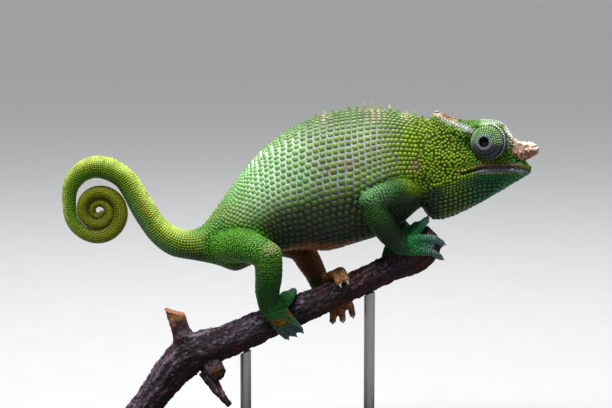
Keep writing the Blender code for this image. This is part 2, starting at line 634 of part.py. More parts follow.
def grown_skull():
    """The front of the skull made larger by the gap, to cut its neighbours clear of it."""
    f = head_sections(np.linspace(3, len(HEAD["x"]) - 1, 16))
    zero = np.zeros_like(f["x"])
    half = (
        (zero, f["ridge_z"] + GAP),
        (f["roof_y"], f["roof_z"] + GAP),
        (f["crest_y"] + GAP, f["crest_z"] + GAP),
        (f["temple_y"] + GAP, f["temple_z"]),
        (f["cheek_y"] + GAP, f["cheek_z"]),
        (f["lip_y"] + GAP, f["mouth_z"] + LIP_GROOVE),
        (f["lip_y"] + LIP_ROUND + GAP, f["mouth_z"] + LIP_HEIGHT),
        (f["lip_y"], f["mouth_z"] - GAP),
        (zero, f["mouth_z"] - GAP),
    )
    return as_object("clearance", loft(head_rings(half, f["x"] + GAP, 20)), "skin")


def branch_rows(count):
    return smooth(BRANCH, np.linspace(0, len(BRANCH) - 1, count))


def branch_shape(grow=0.0):
    """Points and faces of the main stem, oval across its own direction."""
    rows = branch_rows(BRANCH_RINGS)
    along = unit(np.gradient(rows[:, :2], axis=0))
    angle = np.linspace(0, 2 * math.pi, BRANCH_SIDES, endpoint=False)
    rings = [
        np.column_stack(
            (
                x - way[1] * (high + grow) * np.sin(angle),
                (wide + grow) * np.cos(angle),
                z + way[0] * (high + grow) * np.sin(angle),
            )
        )
        for (x, z, high, wide), way in zip(rows, along)
    ]
    if grow:
        rings[-1] = rings[-1] + np.array((along[-1][0], 0.0, along[-1][1])) * grow
    return loft(np.array(rings))


def laid_on_bark(route, radius):
    """Moves each place of a toe out from the branch until the toe just rests on the bark."""
    stem = branch_rows(200)
    way = unit(np.gradient(stem[:, :2], axis=0))
    laid = []
    for place, size in zip(np.asarray(route, float), radius):
        nearest = np.argmin(np.hypot(*(stem[:, :2] - place[[0, 2]]).T))
        x, z, high, wide = stem[nearest]
        up = np.array((-way[nearest][1], 0.0, way[nearest][0]))
        from_axis = place - (x, 0.0, z)
        rise, out = np.dot(from_axis, up), place[1]
        reach = math.hypot(rise, out)
        bark = 1 / math.hypot(rise / reach / high, out / reach / wide)
        clear = max(0.0, bark + 0.8 * size + GAP - reach)
        laid.append(place + clear * (up * rise + np.array((0.0, out, 0.0))) / reach)
    return np.array(laid)


def make_foot(name, palm, toes, limb, body_range):
    """A gripping foot: a palm, toes laid on the bark and their claws, clear of all that it touches."""
    foot = as_object(name, tube(palm, 10, 4), "skin")
    parts = []
    for route in toes:
        radius = np.linspace(TOE_ROOT, TOE_TIP, len(route))
        laid = laid_on_bark(route, radius)
        toe = tube(np.column_stack((laid, radius)), 6, 5)
        tip, way = laid[-1], unit(laid[-1] - laid[-2])
        claw = cone(tip + way * 0.5, tip + way * (TOE_TIP + CLAW_LENGTH), CLAW_RADIUS, CLAW_POINT)
        parts.append(as_object("toe", toe, "skin"))
        parts.append(as_object("claw", claw, "skin"))
    combine(foot, parts, "UNION")
    combine(
        foot,
        [
            as_object("clearance", branch_shape(GAP), "skin"),
            as_object("clearance", tube(limb, LIMB_SIDES, LIMB_RINGS, grow=GAP), "skin"),
            body_part("clearance", *body_range, CLEAR_SPACING, CLEAR_SIDES, GAP),
        ],
        "DIFFERENCE",
    )
    rounded(foot, 50)


def make_limb(word, upper, lower, palm, toes, body_range):
    """One leg in three nodes: the upper length on the trunk, the lower length and the foot."""
    thigh = as_object(f"{word}_upper", tube(upper, LIMB_SIDES, LIMB_RINGS), "skin")
    combine(thigh, [body_part("clearance", *body_range, CLEAR_SPACING, CLEAR_SIDES, GAP)], "DIFFERENCE")
    rounded(thigh)
    shank = as_object(f"{word}_lower", tube(lower, LIMB_SIDES, LIMB_RINGS), "skin")
    combine(
        shank,
        [
            as_object("clearance", tube(upper, LIMB_SIDES, LIMB_RINGS, grow=GAP), "skin"),
            as_object("clearance", branch_shape(GAP), "skin"),
            body_part("clearance", *body_range, CLEAR_SPACING, CLEAR_SIDES, GAP),
        ],
        "DIFFERENCE",
    )
    rounded(shank)
    make_foot(f"{word}_foot", palm, toes, lower, body_range)


def make_body():
    """The neck, the trunk with its crest, and the tail in five lengths down to its curled tip."""
    half_gap = GAP / 2
    neck = body_part("neck", 0.0, NECK_END - half_gap, 3.0, 24)
    combine(neck, crest(SPINE_FIRST, NECK_END - SPINE_ROOT), "UNION")
    rounded(neck)
    torso = body_part("torso", NECK_END + half_gap, TORSO_END - half_gap, 5.0, 24)
    combine(torso, crest(NECK_END + SPINE_ROOT, TORSO_END - SPINE_ROOT), "UNION")
    rounded(torso)
    coil_split = COIL_START + COIL_SPLIT * (BODY_LENGTH - COIL_START)
    stretches = (
        ("tail_base", TORSO_END, TAIL_BASE_END, 4.0, 18),
        ("tail_rise", TAIL_BASE_END, TAIL_RISE_END, 4.0, 14),
        ("tail_arch", TAIL_RISE_END, TAIL_ARCH_END, 3.0, 14),
        ("tail_coil_outer", TAIL_ARCH_END, coil_split, 2.4, 12),
        ("tail_coil_inner", coil_split, BODY_LENGTH + half_gap, 1.6, 10),
    )
    for name, start, end, spacing, sides in stretches:
        rounded(body_part(name, start + half_gap, end - half_gap, spacing, sides))


def make_perch():
    """The cut branch with its broken shoots, sawn level at the foot."""
    perch = as_object("perch", branch_shape(), "bark")
    shoots = []
    for route in (STUB, SAWN_KNOT, TWIG):
        shoots.append(as_object("shoot", tube(route, SHOOT_SIDES, 4, domed=False), "bark"))
    combine(perch, shoots, "UNION")
    foot_x = BRANCH[0][0]
    waste = block("waste", (foot_x, 0, BRANCH_FOOT_Z - WASTE / 2), (2 * WASTE, 2 * WASTE, WASTE), "bark")
    combine(perch, [waste], "DIFFERENCE")
    rounded(perch)


def block(name, centre, size, finish):
    """A plain box from its middle and its lengths along X, Y and Z."""
    corners = np.array([(x, y, z) for x in (-0.5, 0.5) for y in (-0.5, 0.5) for z in (-0.5, 0.5)])
    faces = [(0, 1, 3, 2), (4, 6, 7, 5), (0, 4, 5, 1), (2, 3, 7, 6), (0, 2, 6, 4), (1, 5, 7, 3)]
    return as_object(name, (np.array(centre) + corners * size, faces), finish)


def make_stand():
    """The flat base plate with round corners and the two rods up to the branch."""
    size = (BASE_LENGTH, BASE_DEPTH, BASE_HEIGHT)
    plate = block("stand_base", (0, 0, BASE_HEIGHT / 2), size, "stand")
    form = bmesh.new()
    form.from_mesh(plate.data)
    middle = BASE_HEIGHT / 2 * MM
    upright = [edge for edge in form.edges if edge.calc_length() < 1.5 * BASE_HEIGHT * MM]
    bmesh.ops.bevel(form, geom=upright, offset=BASE_CORNER * MM, segments=6, profile=0.5, affect="EDGES")
    rim = [edge for edge in form.edges if min(vert.co.z for vert in edge.verts) > middle]
    bmesh.ops.bevel(form, geom=rim, offset=BASE_EDGE * MM, segments=2, profile=0.5, affect="EDGES")
    form.to_mesh(plate.data)
    form.free()
    stem = branch_rows(200)
    for number, x in enumerate(ROD_X, 1):
        foot = (x, 0.0, BASE_HEIGHT + GAP, ROD_RADIUS)
        top = (x, 0.0, np.interp(x, stem[:, 0], stem[:, 1]), ROD_RADIUS)
        rod = as_object(f"stand_rod_{number}", tube((foot, top), ROD_SIDES, 2, domed=False), "rod")
        combine(rod, [as_object("clearance", branch_shape(GAP), "bark")], "DIFFERENCE")
        rounded(rod)


def main():
    for obj in list(bpy.data.objects):
        bpy.data.objects.remove(obj)
    make_body()
    make_skull()
    make_jaw()
    make_eyes()
    make_horns()
    make_limb("foreleg_right", FORE_UPPER, FORE_LOWER, FORE_PALM, FORE_TOES, FORE_RANGE)
    make_limb("foreleg_left", FAR_FORE_UPPER, FAR_FORE_LOWER, FAR_FORE_PALM, FAR_FORE_TOES, FORE_RANGE)
    make_limb("hindleg_right", HIND_UPPER, HIND_LOWER, HIND_PALM, HIND_TOES, HIND_RANGE)
    make_limb("hindleg_left", FAR_HIND_UPPER, FAR_HIND_LOWER, FAR_HIND_PALM, FAR_HIND_TOES, HIND_RANGE)
    make_perch()
    make_stand()


main()
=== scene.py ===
"""Looks of the Fischer's chameleon: one skin under raised scales, with eyes, horns, claws, branch and stand.

Shapes are worked out in millimetres in the frame of the solids (the animal faces +X, its right side is
toward -Y and +Z is up) and become metres when a mesh is made.
"""

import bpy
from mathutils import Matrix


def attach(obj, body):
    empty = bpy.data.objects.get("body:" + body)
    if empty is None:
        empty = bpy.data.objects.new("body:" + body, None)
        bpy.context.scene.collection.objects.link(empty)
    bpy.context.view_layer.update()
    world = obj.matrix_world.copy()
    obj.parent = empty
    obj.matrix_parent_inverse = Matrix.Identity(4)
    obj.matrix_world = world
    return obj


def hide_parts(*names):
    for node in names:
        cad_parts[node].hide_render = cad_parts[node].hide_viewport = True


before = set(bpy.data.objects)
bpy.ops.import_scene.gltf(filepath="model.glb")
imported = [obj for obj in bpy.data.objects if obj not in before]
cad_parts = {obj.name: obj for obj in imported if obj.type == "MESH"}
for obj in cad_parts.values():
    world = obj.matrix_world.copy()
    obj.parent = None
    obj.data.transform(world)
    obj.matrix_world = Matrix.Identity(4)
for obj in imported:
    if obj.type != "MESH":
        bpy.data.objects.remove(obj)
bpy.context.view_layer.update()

import logging
import math
from dataclasses import dataclass, field, fields
from enum import Enum
from itertools import product
from typing import Callable, Union

import bpy
import numpy as np
from mathutils import Vector
from mathutils.bvhtree import BVHTree
from mathutils.kdtree import KDTree

LOG = logging.getLogger("chameleon")
MM = 0.001
# Angles in degrees of the circles that round a limb's end
DOME_RISE = (82, 65, 45, 22)
# Half the width of a scale's patch on the unwrap
HALF_PATCH = 0.0015
# Corners of the raised scales
SCALE_SIDES = 8
# Large odd numbers that scatter the corners of a lattice, for numbers that look random
LATTICE_FACTORS = (73856093, 19349663, 83492791)
SEED_FACTOR = 2654435
HASH_ROUNDS = ((15, 2246822519), (13, 3266489917))
# Along the body: lengths from the nape, and how far the rows of scales draw together there
ROWS_DRAWN = (
    (-5, 12, 30, 50, 66, 80, 98, 120, 150, 205, 300),
    (0.56, 0.7, 0.96, 0.98, 0.8, 0.62, 0.44, 0.35, 0.32, 0.31, 0.26),
)
# Along the trunk: lengths from the nape, and the step from column to column of scales there
COLUMN_STEPS = ((-3, 12, 30, 50, 80), (1.35, 1.8, 2.65, 2.7, 1.6))
# The pale band under the casque: x, and its height there
PALE_BAND = ((54, 56, 59, 65, 68, 71), (134.9, 134.3, 132.8, 130.2, 128.9, 127.6))
Array = np.ndarray
Material = bpy.types.Material
Link = bpy.types.NodeSocket

# Neck, trunk and rising tail: the place on the back (x, z), on the belly (x, z) and the half width
BODY = (
    (59, 131.8, 57, 102, 8.6), (50.8, 133.2, 48.4, 98, 9.2), (42.4, 135.4, 40.2, 91.2, 10.4),
    (32.2, 137.3, 31, 86.4, 11.8), (22, 137.3, 21.4, 83.2, 12.8), (11.6, 135.6, 11.4, 80.4, 13.2),
    (1.6, 132.4, 2, 80.8, 12.8), (-8.8, 126.3, -6.8, 80, 11.8), (-18.8, 117.4, -14.4, 77.4, 10.6),
    (-28, 105.4, -21, 73.8, 9.2), (-34.4, 96.6, -26.6, 72.2, 8), (-39.4, 90.4, -34, 74.8, 6.8),
    (-45, 88.8, -43.6, 76.6, 5.9), (-49.8, 90, -52, 78.4, 5.5), (-54, 93.2, -59.6, 84, 5.2),
    (-57.8, 98.8, -66.2, 93.4, 5), (-62, 105.6, -70.4, 101.6, 4.8), (-65.4, 111, -73, 105.8, 4.6),
    (-69.6, 114.8, -75.6, 107.8, 4.5), (-74.6, 117.6, -78.4, 109, 4.4), (-81.2, 118.8, -81.6, 109.5, 4.2),
    (-87.2, 117, -84.7, 108.6, 3.9), (-91.4, 113.6, -87, 106.8, 3.5), (-94.2, 109.4, -88.6, 104.6, 3.2),
    (-95.3, 103.4, -89.4, 101, 2.9), (-95.05, 96.4, -89.35, 96.4, 2.7),
)
# The head's feature lines from the nape to the tip of the lip
HEAD = {
    "x": (50, 53.6, 59.5, 65.5, 71.5, 77.5, 83, 87.4, 91.2),
    "ridge_z": (133.2, 136.6, 134.6, 133.2, 133.3, 132.9, 129.2, 120.8, 114.6),
    "roof_y": (3, 2, 3.4, 4.4, 4.6, 4.4, 3.2, 2.4, 1.4),
    "roof_z": (131.8, 135.2, 132.6, 130.6, 132.2, 132.2, 128.2, 120.4, 114.5),
    "crest_y": (5.6, 4.4, 6.8, 8, 8.6, 8.2, 6, 4.2, 2.4),
    "crest_z": (129, 134.2, 131.2, 128.4, 131.6, 131.7, 126.6, 119.2, 114.3),
    "temple_y": (8.2, 7.6, 8, 7.6, 7.2, 6.6, 5.4, 4.6, 2.8),
    "temple_z": (123, 126, 125.4, 124, 125, 124.4, 121, 117.4, 114),
    "cheek_y": (9.2, 9.8, 10.4, 9.8, 8.6, 7.6, 6.4, 5.2, 3),
    "cheek_z": (115, 117.4, 117.8, 117.4, 117.6, 117.6, 117, 115.6, 113.8),
    "lip_y": (9.2, 10, 10.5, 10, 9.2, 8.2, 7, 5.6, 3.2),
    "mouth_z": (108, 109.6, 111.2, 112.8, 114.4, 114.7, 114.5, 114, 113),
    "jaw_y": (9, 9.7, 9.9, 9.2, 8.3, 7.4, 6.2, 4.8, 2.4),
    "jaw_z": (104.6, 105.2, 106.4, 107.6, 109.2, 110.4, 111, 111.2, 111.7),
    "throat_y": (5.6, 6.2, 6.2, 5.8, 5.3, 4.7, 3.9, 3, 1.5),
    "throat_side_z": (99.6, 96.6, 96.8, 98.9, 101.6, 104.6, 107.4, 109.5, 111.3),
    "throat_z": (97.8, 93, 93.6, 96.2, 99.3, 102.7, 106.1, 108.8, 111.2),
}
# The branch from its sawn foot to its broken end: x, z, half height, half depth
BRANCH = (
    (-73, 1.5, 6.8, 7.4), (-63, 16, 6.8, 7.6), (-55.6, 26, 7.2, 7.8), (-48.4, 34.6, 8, 8), (-40, 40, 8, 8),
    (-28.6, 43.8, 7.2, 7.4), (-11.6, 51.2, 6.7, 6.6), (2.6, 57.4, 6.4, 6.3), (18.2, 64.8, 5.9, 5.9),
    (36.4, 73.4, 6.2, 6), (45.2, 78.6, 8.2, 6.6), (50.2, 83.2, 7.6, 6.4), (54.2, 87.2, 5.2, 5),
)
BRANCH_FOOT_Z = 10.8
STUB = ((-45.4, 0, 40, 5.4), (-47.6, 0, 47, 4.6), (-49.8, 0, 54.6, 4.3))
SAWN_KNOT = ((-36, -2, 35, 4.4), (-32.6, -9.6, 32, 3.6))
TWIG = ((-38, -3, 32, 3.4), (-33, -7.6, 25, 2.4), (-28, -9, 19, 1.5))
# Three limbs of each leg from the trunk outward: x, y, z, radius
LIMBS = (
    # Right fore leg
    ((43.6, -4, 105, 5), (39.6, -10.6, 105.4, 5.2), (33, -15, 104.4, 4.9), (27.4, -16.4, 102.2, 4.5)),
    ((27.6, -16.4, 101.8, 4.5), (30.6, -15.6, 95.8, 5.2), (35, -13.4, 89.2, 4.8), (39.6, -11.6, 84.4, 4.2)),
    ((39.4, -11.6, 84.4, 4.1), (42, -10.6, 84, 3.9), (44.4, -9.8, 83.6, 3.2)),
    # Left fore leg
    ((43.6, 4, 105, 5), (39.6, 10.8, 104.6, 5), (34, 15.4, 102.4, 4.7), (29.6, 16.6, 99.6, 4.4)),
    ((29.6, 16.6, 99.2, 4.4), (33.2, 15, 94.6, 4.7), (37.6, 12.4, 90.6, 4.2), (41.4, 10.2, 88, 3.7)),
    ((41.2, 10.4, 88, 3.7), (42.8, 9.6, 85.2, 3.6), (43.6, 9.2, 83, 3)),
    # Right hind leg
    ((-30, -3, 83, 7.2), (-23, -9.4, 83.6, 6.9), (-17, -14, 82.8, 6.2), (-12.4, -16.4, 80.8, 5.6)),
    ((-12.4, -16.4, 80.4, 5.6), (-12.2, -15.8, 73, 5.5), (-12.8, -13.6, 66.6, 5), (-12.4, -11, 60.6, 4.5)),
    ((-12.4, -11, 60.6, 4.4), (-10, -10.4, 57.2, 4.4), (-7.8, -9.8, 54, 3.6)),
    # Left hind leg
    ((-28, 3, 83.4, 7), (-18, 9.4, 84, 6.7), (-7, 13.4, 81.8, 6.1), (0.6, 14, 79.2, 5.5)),
    ((0.6, 14, 78.8, 5.5), (3.6, 12.8, 74, 5.2), (6.2, 10.8, 69.4, 4.6), (8.2, 9, 65.2, 4.2)),
    ((8.2, 9, 65.2, 4.1), (11, 8.6, 63.6, 4), (13.2, 8.2, 62.2, 3.2)),
)
# Five toes of each foot from root to tip: x, y, z
TOES = (
    # Right fore leg
    ((42, -11.6, 85.6), (47.4, -10.8, 86.6), (52.6, -9.8, 86.6), (56.4, -6.6, 84.4)),
    ((42, -12, 82.2), (47.4, -11.4, 81.8), (52.2, -10.2, 81.2), (55.8, -6.8, 78.6)),
    ((40.6, -8.6, 86.4), (42, -5.4, 88.8), (43, -1.6, 89.6), (42.8, 2, 88)),
    ((43.2, -8.6, 87), (45.4, -5.4, 89.8), (46.8, -1.6, 90.8), (46.8, 2, 89.4)),
    ((45, -8.6, 87), (48.2, -5.4, 91), (50.4, -1.6, 92.4), (50.6, 1.8, 91.4)),
    # Left fore leg
    ((43.4, 10.4, 85), (48.6, 10, 85), (53.2, 9.2, 84.6), (56.2, 6.4, 82.4)),
    ((43, 10.8, 82), (47.8, 10.4, 80.6), (52, 9.4, 79.8), (55.4, 6.2, 77.8)),
    ((40.4, 9.8, 82.6), (38.8, 9.6, 79.6), (37.8, 8.8, 76), (37.4, 7.4, 72)),
    ((42.8, 9.8, 81.6), (41.8, 9.6, 78.6), (41.4, 8.8, 75.4), (41.4, 7.6, 72)),
    ((37.8, 9.8, 83.8), (35.6, 9, 79.6), (34.2, 8.2, 75), (33.8, 7, 71)),
    # Right hind leg
    ((-11, -10.6, 56), (-9.8, -9.8, 52.4), (-7.6, -8.6, 49.2), (-5.6, -6.4, 46.6)),
    ((-8.6, -10.6, 56.4), (-7, -9.8, 53), (-4.8, -8.8, 50.2), (-2.6, -6.8, 47.8)),
    ((-6.2, -10.6, 57.6), (-4, -9.8, 54.6), (-1.8, -9, 52), (0.2, -7, 49.4)),
    ((-9.4, -8.4, 60.2), (-7.4, -5, 61.8), (-5.8, -0.4, 62.4), (-5.4, 4.4, 59.6)),
    ((-6.6, -8.4, 59.6), (-4, -5, 62), (-2.4, -0.4, 63.2), (-2.2, 4.4, 60.4)),
    # Left hind leg
    ((11, 9.4, 61.6), (12.2, 9.2, 57.6), (13.4, 6.4, 53.8), (13.2, 0.6, 51.6)),
    ((13.6, 9.2, 62.4), (15.2, 9, 58.6), (16.8, 6.2, 54.8), (17.2, 0.2, 52.2)),
    ((15.6, 8.8, 64), (18.2, 8.6, 60.4), (20.4, 6, 57), (21.2, 0.2, 54.2)),
    ((10.6, 6.4, 67.6), (12.4, 3, 69.6), (14.4, -1.6, 70.2), (15.8, -5.6, 67.8)),
    ((13, 6.4, 68.4), (15.4, 3, 70.8), (17.4, -1.6, 71.4), (18.8, -5.6, 69)),
)
LIMBS_A_LEG, TOES_A_LEG = 3, 5
# The stretch of the unwrap that each limb of a leg gets
LIMB_STRIPS = ((0.0, 0.3), (0.3, 0.6), (0.6, 0.68))
# Which toes of a foot are joined by flesh
FORE_WEBS, HIND_WEBS = ((0, 1), (2, 3), (3, 4)), ((0, 1), (1, 2), (3, 4))
# Rosy spots on the flank: x, z, size; and warm spines on the back: x, size
ROSE_SPOTS = ((18.8, 116, 2), (28.6, 121.8, 1.3), (45.6, 115.4, 1.8), (12.4, 114.6, 1.2))
WARM_SPINES = ((29, 4), (42, 2.6), (10, 2.4))
# A snout horn on the left from its root: x, y, z, half height, half width
HORN = (
    (80.5, 3.4, 123.2, 5, 1.9), (84.4, 3.7, 122.3, 5.4, 2), (87.4, 4, 121, 4.1, 1.9),
    (90.2, 4.4, 120.8, 3, 1.6), (92.6, 4.8, 121.4, 2.1, 1.3), (93.8, 4.9, 121.8, 1.5, 0.9),
)


class Tone(Enum):
    """The animal's colours, as they look on a screen; some are painted shade and some painted highlights."""

    LIME = (0.5, 0.62, 0.04)
    LEAF = (0.45, 0.6, 0.05)
    GREEN = (0.24, 0.56, 0.1)
    SAGE = (0.44, 0.58, 0.3)
    MINT = (0.5, 0.78, 0.46)
    # SHADE and the tone after it are painted shade, laid on the lower flank, under the neck and at the rear
    # of the throat.
    SHADE = (0.13, 0.19, 0.04)
    PAINTED_SHADOW = (0.06, 0.14, 0.07)
    RUST = (0.6, 0.38, 0.16)
    ROSE = (0.62, 0.4, 0.42)
    CREAM = (0.86, 0.76, 0.6)
    # Painted shade for the lilac lines low on the flank.
    LILAC = (0.72, 0.72, 0.8)
    GROUT_SHADE = (0.18, 0.17, 0.215)
    # Deep green of the forearms; under the upper arms it is painted shade.
    MOSS_AND_SHADE = (0.01, 0.14, 0.01)
    GRASS = (0.08, 0.36, 0.03)
    THIGH = (0.32, 0.59, 0.11)
    PALE_LIME = (0.84, 0.94, 0.42)
    TEAL = (0.17, 0.58, 0.3)
    SLATE = (0.48, 0.58, 0.62)
    ORANGE = (0.86, 0.52, 0.08)
    # Painted shade on the inner face of the far thigh.
    UMBER_SHADE = (0.42, 0.17, 0.04)
    OLIVE = (0.6, 0.63, 0.02)
    OLIVE_DARK = (0.38, 0.41, 0.01)
    PALE = (0.74, 0.73, 0.77)
    FROST = (0.88, 0.96, 0.9)
    BRICK = (0.58, 0.34, 0.22)
    LIP = (0.5, 0.33, 0.32)
    ASH = (0.54, 0.56, 0.62)
    # Painted highlight on the top of the brow.
    BROW_HIGHLIGHT = (0.66, 0.76, 0.62)
    SEA = (0.04, 0.42, 0.2)
    SEA_DARK = (0.02, 0.14, 0.12)
    LID = (0.5, 0.64, 0.47)
    LID_LOW = (0.37, 0.33, 0.38)
    # Painted shade in the folds of the lower lids.
    LID_DARK = (0.09, 0.11, 0.13)
    LID_RIM = (0.58, 0.62, 0.69)
    BLACK = (0.01, 0.01, 0.012)
    HORN = (0.86, 0.72, 0.62)
    HORN_LIGHT = (0.97, 0.92, 0.86)
    # Brown of the horn's underside and crevices, partly painted shade.
    HORN_DARK = (0.5, 0.29, 0.15)
    CLAW = (0.6, 0.61, 0.58)
    BARK = (0.145, 0.11, 0.14)
    # Dark of the bark's cracks, partly painted shade.
    BARK_DARK = (0.04, 0.032, 0.042)
    # Grey of the bark, laid on faces turned to the light as a painted highlight.
    BARK_GREY = (0.5, 0.46, 0.52)
    BARK_RED = (0.32, 0.15, 0.12)
    WOOD = (0.74, 0.5, 0.36)

    @property
    def light(self) -> Array:
        """The colour as amounts of light, red, green and blue."""
        shown = np.array(self.value)
        return np.where(shown > 0.04045, ((shown + 0.055) / 1.055) ** 2.4, shown / 12.92)

    def over(self, points: Array) -> Array:
        """The colour as light, one row for each of the points."""
        return np.repeat(self.light[None], len(points), 0)


Colour = Union[Array, Tone]


class Region(Enum):
    """Where on the animal a scale grows."""

    TRUNK = 0
    TAIL = 1
    COIL = 2
    HEAD = 3
    RIGHT_LEGS = 4
    LEFT_LEGS = 5


def ramp(value: Array, low: float, high: float) -> Array:
    """0 below low, 1 above high and a smooth rise between: 3t squared minus 2t cubed."""
    t = np.clip((np.asarray(value, float) - low) / (high - low), 0.0, 1.0)
    return t * t * (3.0 - 2.0 * t)


def fall(value: Array, low: float, high: float) -> Array:
    """1 below low, 0 above high and a smooth descent between."""
    return 1 - ramp(value, low, high)


def bump(value: Array, middle: float, half: float) -> Array:
    """A bell: e to the power of minus the square of the distance from the middle over the half width."""
    return np.exp(-(((np.asarray(value, float) - middle) / half) ** 2))


def unit(rows: Array) -> Array:
    """Each row divided by its length."""
    return rows / np.maximum(np.linalg.norm(rows, axis=-1, keepdims=True), 1e-12)


def headed(path: Array) -> Array:
    """Unit directions along a path."""
    return unit(np.gradient(path, axis=0))


def turns_of(count: int) -> Array:
    """Angles spread evenly over a full turn."""
    return np.linspace(0, 2 * math.pi, count, endpoint=False)


def circle(angle: Array, side: Array, other: Array) -> Array:
    """Places on a unit circle at angles from one direction toward another."""
    return np.outer(np.cos(angle), side) + np.outer(np.sin(angle), other)


def summed(steps: Array) -> Array:
    """The distance run before each step and after the last."""
    return np.concatenate(([0.0], np.cumsum(steps)))


def read(rows: Array, run: Array, at: Array) -> Array:
    """Every column of rows that lie at the distances in run, read at other distances."""
    return np.column_stack([np.interp(at, run, column) for column in rows.T])


def least(points: Array, measure: Callable, part: int = 8000) -> Array:
    """For each point the number of the column in which its measure is least, worked out in parts."""
    starts = range(0, max(len(points), 1), part)
    return np.concatenate([np.argmin(measure(points[start:start + part]), axis=1) for start in starts])


def near_tree(points: Array) -> KDTree:
    """A tree that finds the points near a place."""
    tree = KDTree(len(points))
    for index, point in enumerate(points.tolist()):
        tree.insert(point, index)
    tree.balance()
    return tree


def word_of(side: int) -> str:
    """The side as a word: -1 is right and 1 is left."""
    return "right" if side < 0 else "left"


def mixed(base: Colour, tone: Colour, amount: Array) -> Array:
    """Base colours with an amount of a tone laid over them.

    Args:
        base: One colour, or one row a point.
        tone: One colour, or one row a point.
        amount: From 0 to 1 for each point.

    Returns:
        base times 1 minus the amount, plus tone times the amount, one row a point.
    """
    base, tone = (colour.light if isinstance(colour, Tone) else colour for colour in (base, tone))
    share = np.asarray(amount, float)[:, None]
    return base * (1.0 - share) + tone * share


def layered(base: Colour, *covers: tuple) -> Array:
    """Base colours with tones laid over them in turn, each given with its amount."""
    for tone, amount in covers:
        base = mixed(base, tone, amount)
    return base


def smooth(keys: Array, at: Array) -> Array:
    """Reads a curve through every row of keys at places counted in rows.

    Each stretch is the cubic whose slope at a row is half the step between its neighbours.

    Args:
        keys: Rows of values.
        at: Places from 0 to the last row.

    Returns:
        One row of values for each place.
    """
    keys = np.asarray(keys, float)
    keys = np.vstack((2 * keys[0] - keys[1], keys, 2 * keys[-1] - keys[-2]))
    at = np.clip(np.asarray(at, float), 0, len(keys) - 3)
    row = np.minimum(at.astype(int), len(keys) - 4)
    t = (at - row)[:, None]
    before, start, end, after = (keys[row + step] for step in range(4))
    bend = 2 * before - 5 * start + 4 * end - after
    twist = 3 * (start - end) + after - before
    return start + 0.5 * t * ((end - before) + t * (bend + t * twist))


def dense(keys: Array, count: int) -> Array:
    """Rows spread evenly, counted in keys, along the smooth curve through every row of keys."""
    return smooth(keys, np.linspace(0, len(keys) - 1, count))


def evenly(route: Array, count: int) -> Array:
    """Rows spread evenly by length along the smooth curve through a route that starts with x, y, z.

    Args:
        route: Rows of x, y, z and any further values.
        count: How many rows to return.

    Returns:
        The rows.
    """
    rows = dense(route, 30 * len(route))
    run = summed(np.linalg.norm(np.diff(rows[:, :3], axis=0), axis=1))
    return read(rows, run, np.linspace(0, run[-1], count))


def grain(points: Array, size: float, seed: int) -> Array:
    """Smooth random values from -1 to 1: a number drawn at each corner of a lattice of cubes, blended inside.

    Args:
        points: Places, one row each.
        size: The side of a cube.
        seed: Picks another set of numbers.

    Returns:
        One value for each place.
    """
    cell = np.asarray(points, float) / size
    low = np.floor(cell).astype(np.int64)
    part = cell - low
    part = part * part * (3 - 2 * part)
    total = np.zeros(len(cell))
    for step in product((0, 1), repeat=3):
        key = np.bitwise_xor.reduce((low + step) * LATTICE_FACTORS, axis=1) ^ seed * SEED_FACTOR
        for shift, factor in HASH_ROUNDS:
            key = (key ^ (key >> shift)) * factor & (2**32 - 1)
        value = (key ^ (key >> 16)) / 2.0**31 - 1.0
        total += value * np.prod(np.where(step, part, 1 - part), axis=1)
    return total


@dataclass
class Form:
    """Points in millimetres and faces, as arrays with the same number of corners in each."""

    points: Array
    faces: list

    def volume(self) -> float:
        """The sum over fans of triangles of their signed tetrahedra to the origin."""
        total = 0.0
        for group in self.faces:
            first = self.points[group[:, 0]]
            for corner in range(1, group.shape[1] - 1):
                one, two = self.points[group[:, corner]], self.points[group[:, corner + 1]]
                total += np.einsum("ij,ij->", first, np.cross(one, two)) / 6.0
        return total

    def outward(self) -> "Form":
        """The same form with its faces turned outward."""
        if self.volume() < 0:
            self.faces = [group[:, ::-1] for group in self.faces]
        return self

    @staticmethod
    def joined(forms: list) -> "Form":
        """Several forms as one, not fused."""
        points = np.vstack([form.points for form in forms])
        starts = np.concatenate(([0], np.cumsum([len(form.points) for form in forms])[:-1]))
        groups = {}
        for form, start in zip(forms, starts):
            for group in form.faces:
                groups.setdefault(group.shape[1], []).append(group + start)
        return Form(points, [np.vstack(group) for group in groups.values()])


def lofted(rings: Array) -> Form:
    """A closed skin over rings, with a fan of triangles to the middle of each end.

    Args:
        rings: Places, indexed by ring and by side.

    Returns:
        The form, facing outward.
    """
    count, sides, _ = rings.shape
    points = np.vstack((rings.reshape(-1, 3), rings[0].mean(axis=0), rings[-1].mean(axis=0)))
    ring, side = np.meshgrid(np.arange(count - 1), np.arange(sides), indexing="ij")
    near, far = ring * sides + side, ring * sides + (side + 1) % sides
    quads = np.stack((near, far, far + sides, near + sides), axis=-1).reshape(-1, 4)
    side = np.arange(sides)
    following, last = (side + 1) % sides, (count - 1) * sides
    start_fan = np.column_stack((following, side, np.full(sides, count * sides)))
    end_fan = np.column_stack((last + side, last + following, np.full(sides, count * sides + 1)))
    return Form(points, [quads, np.vstack((start_fan, end_fan))]).outward()


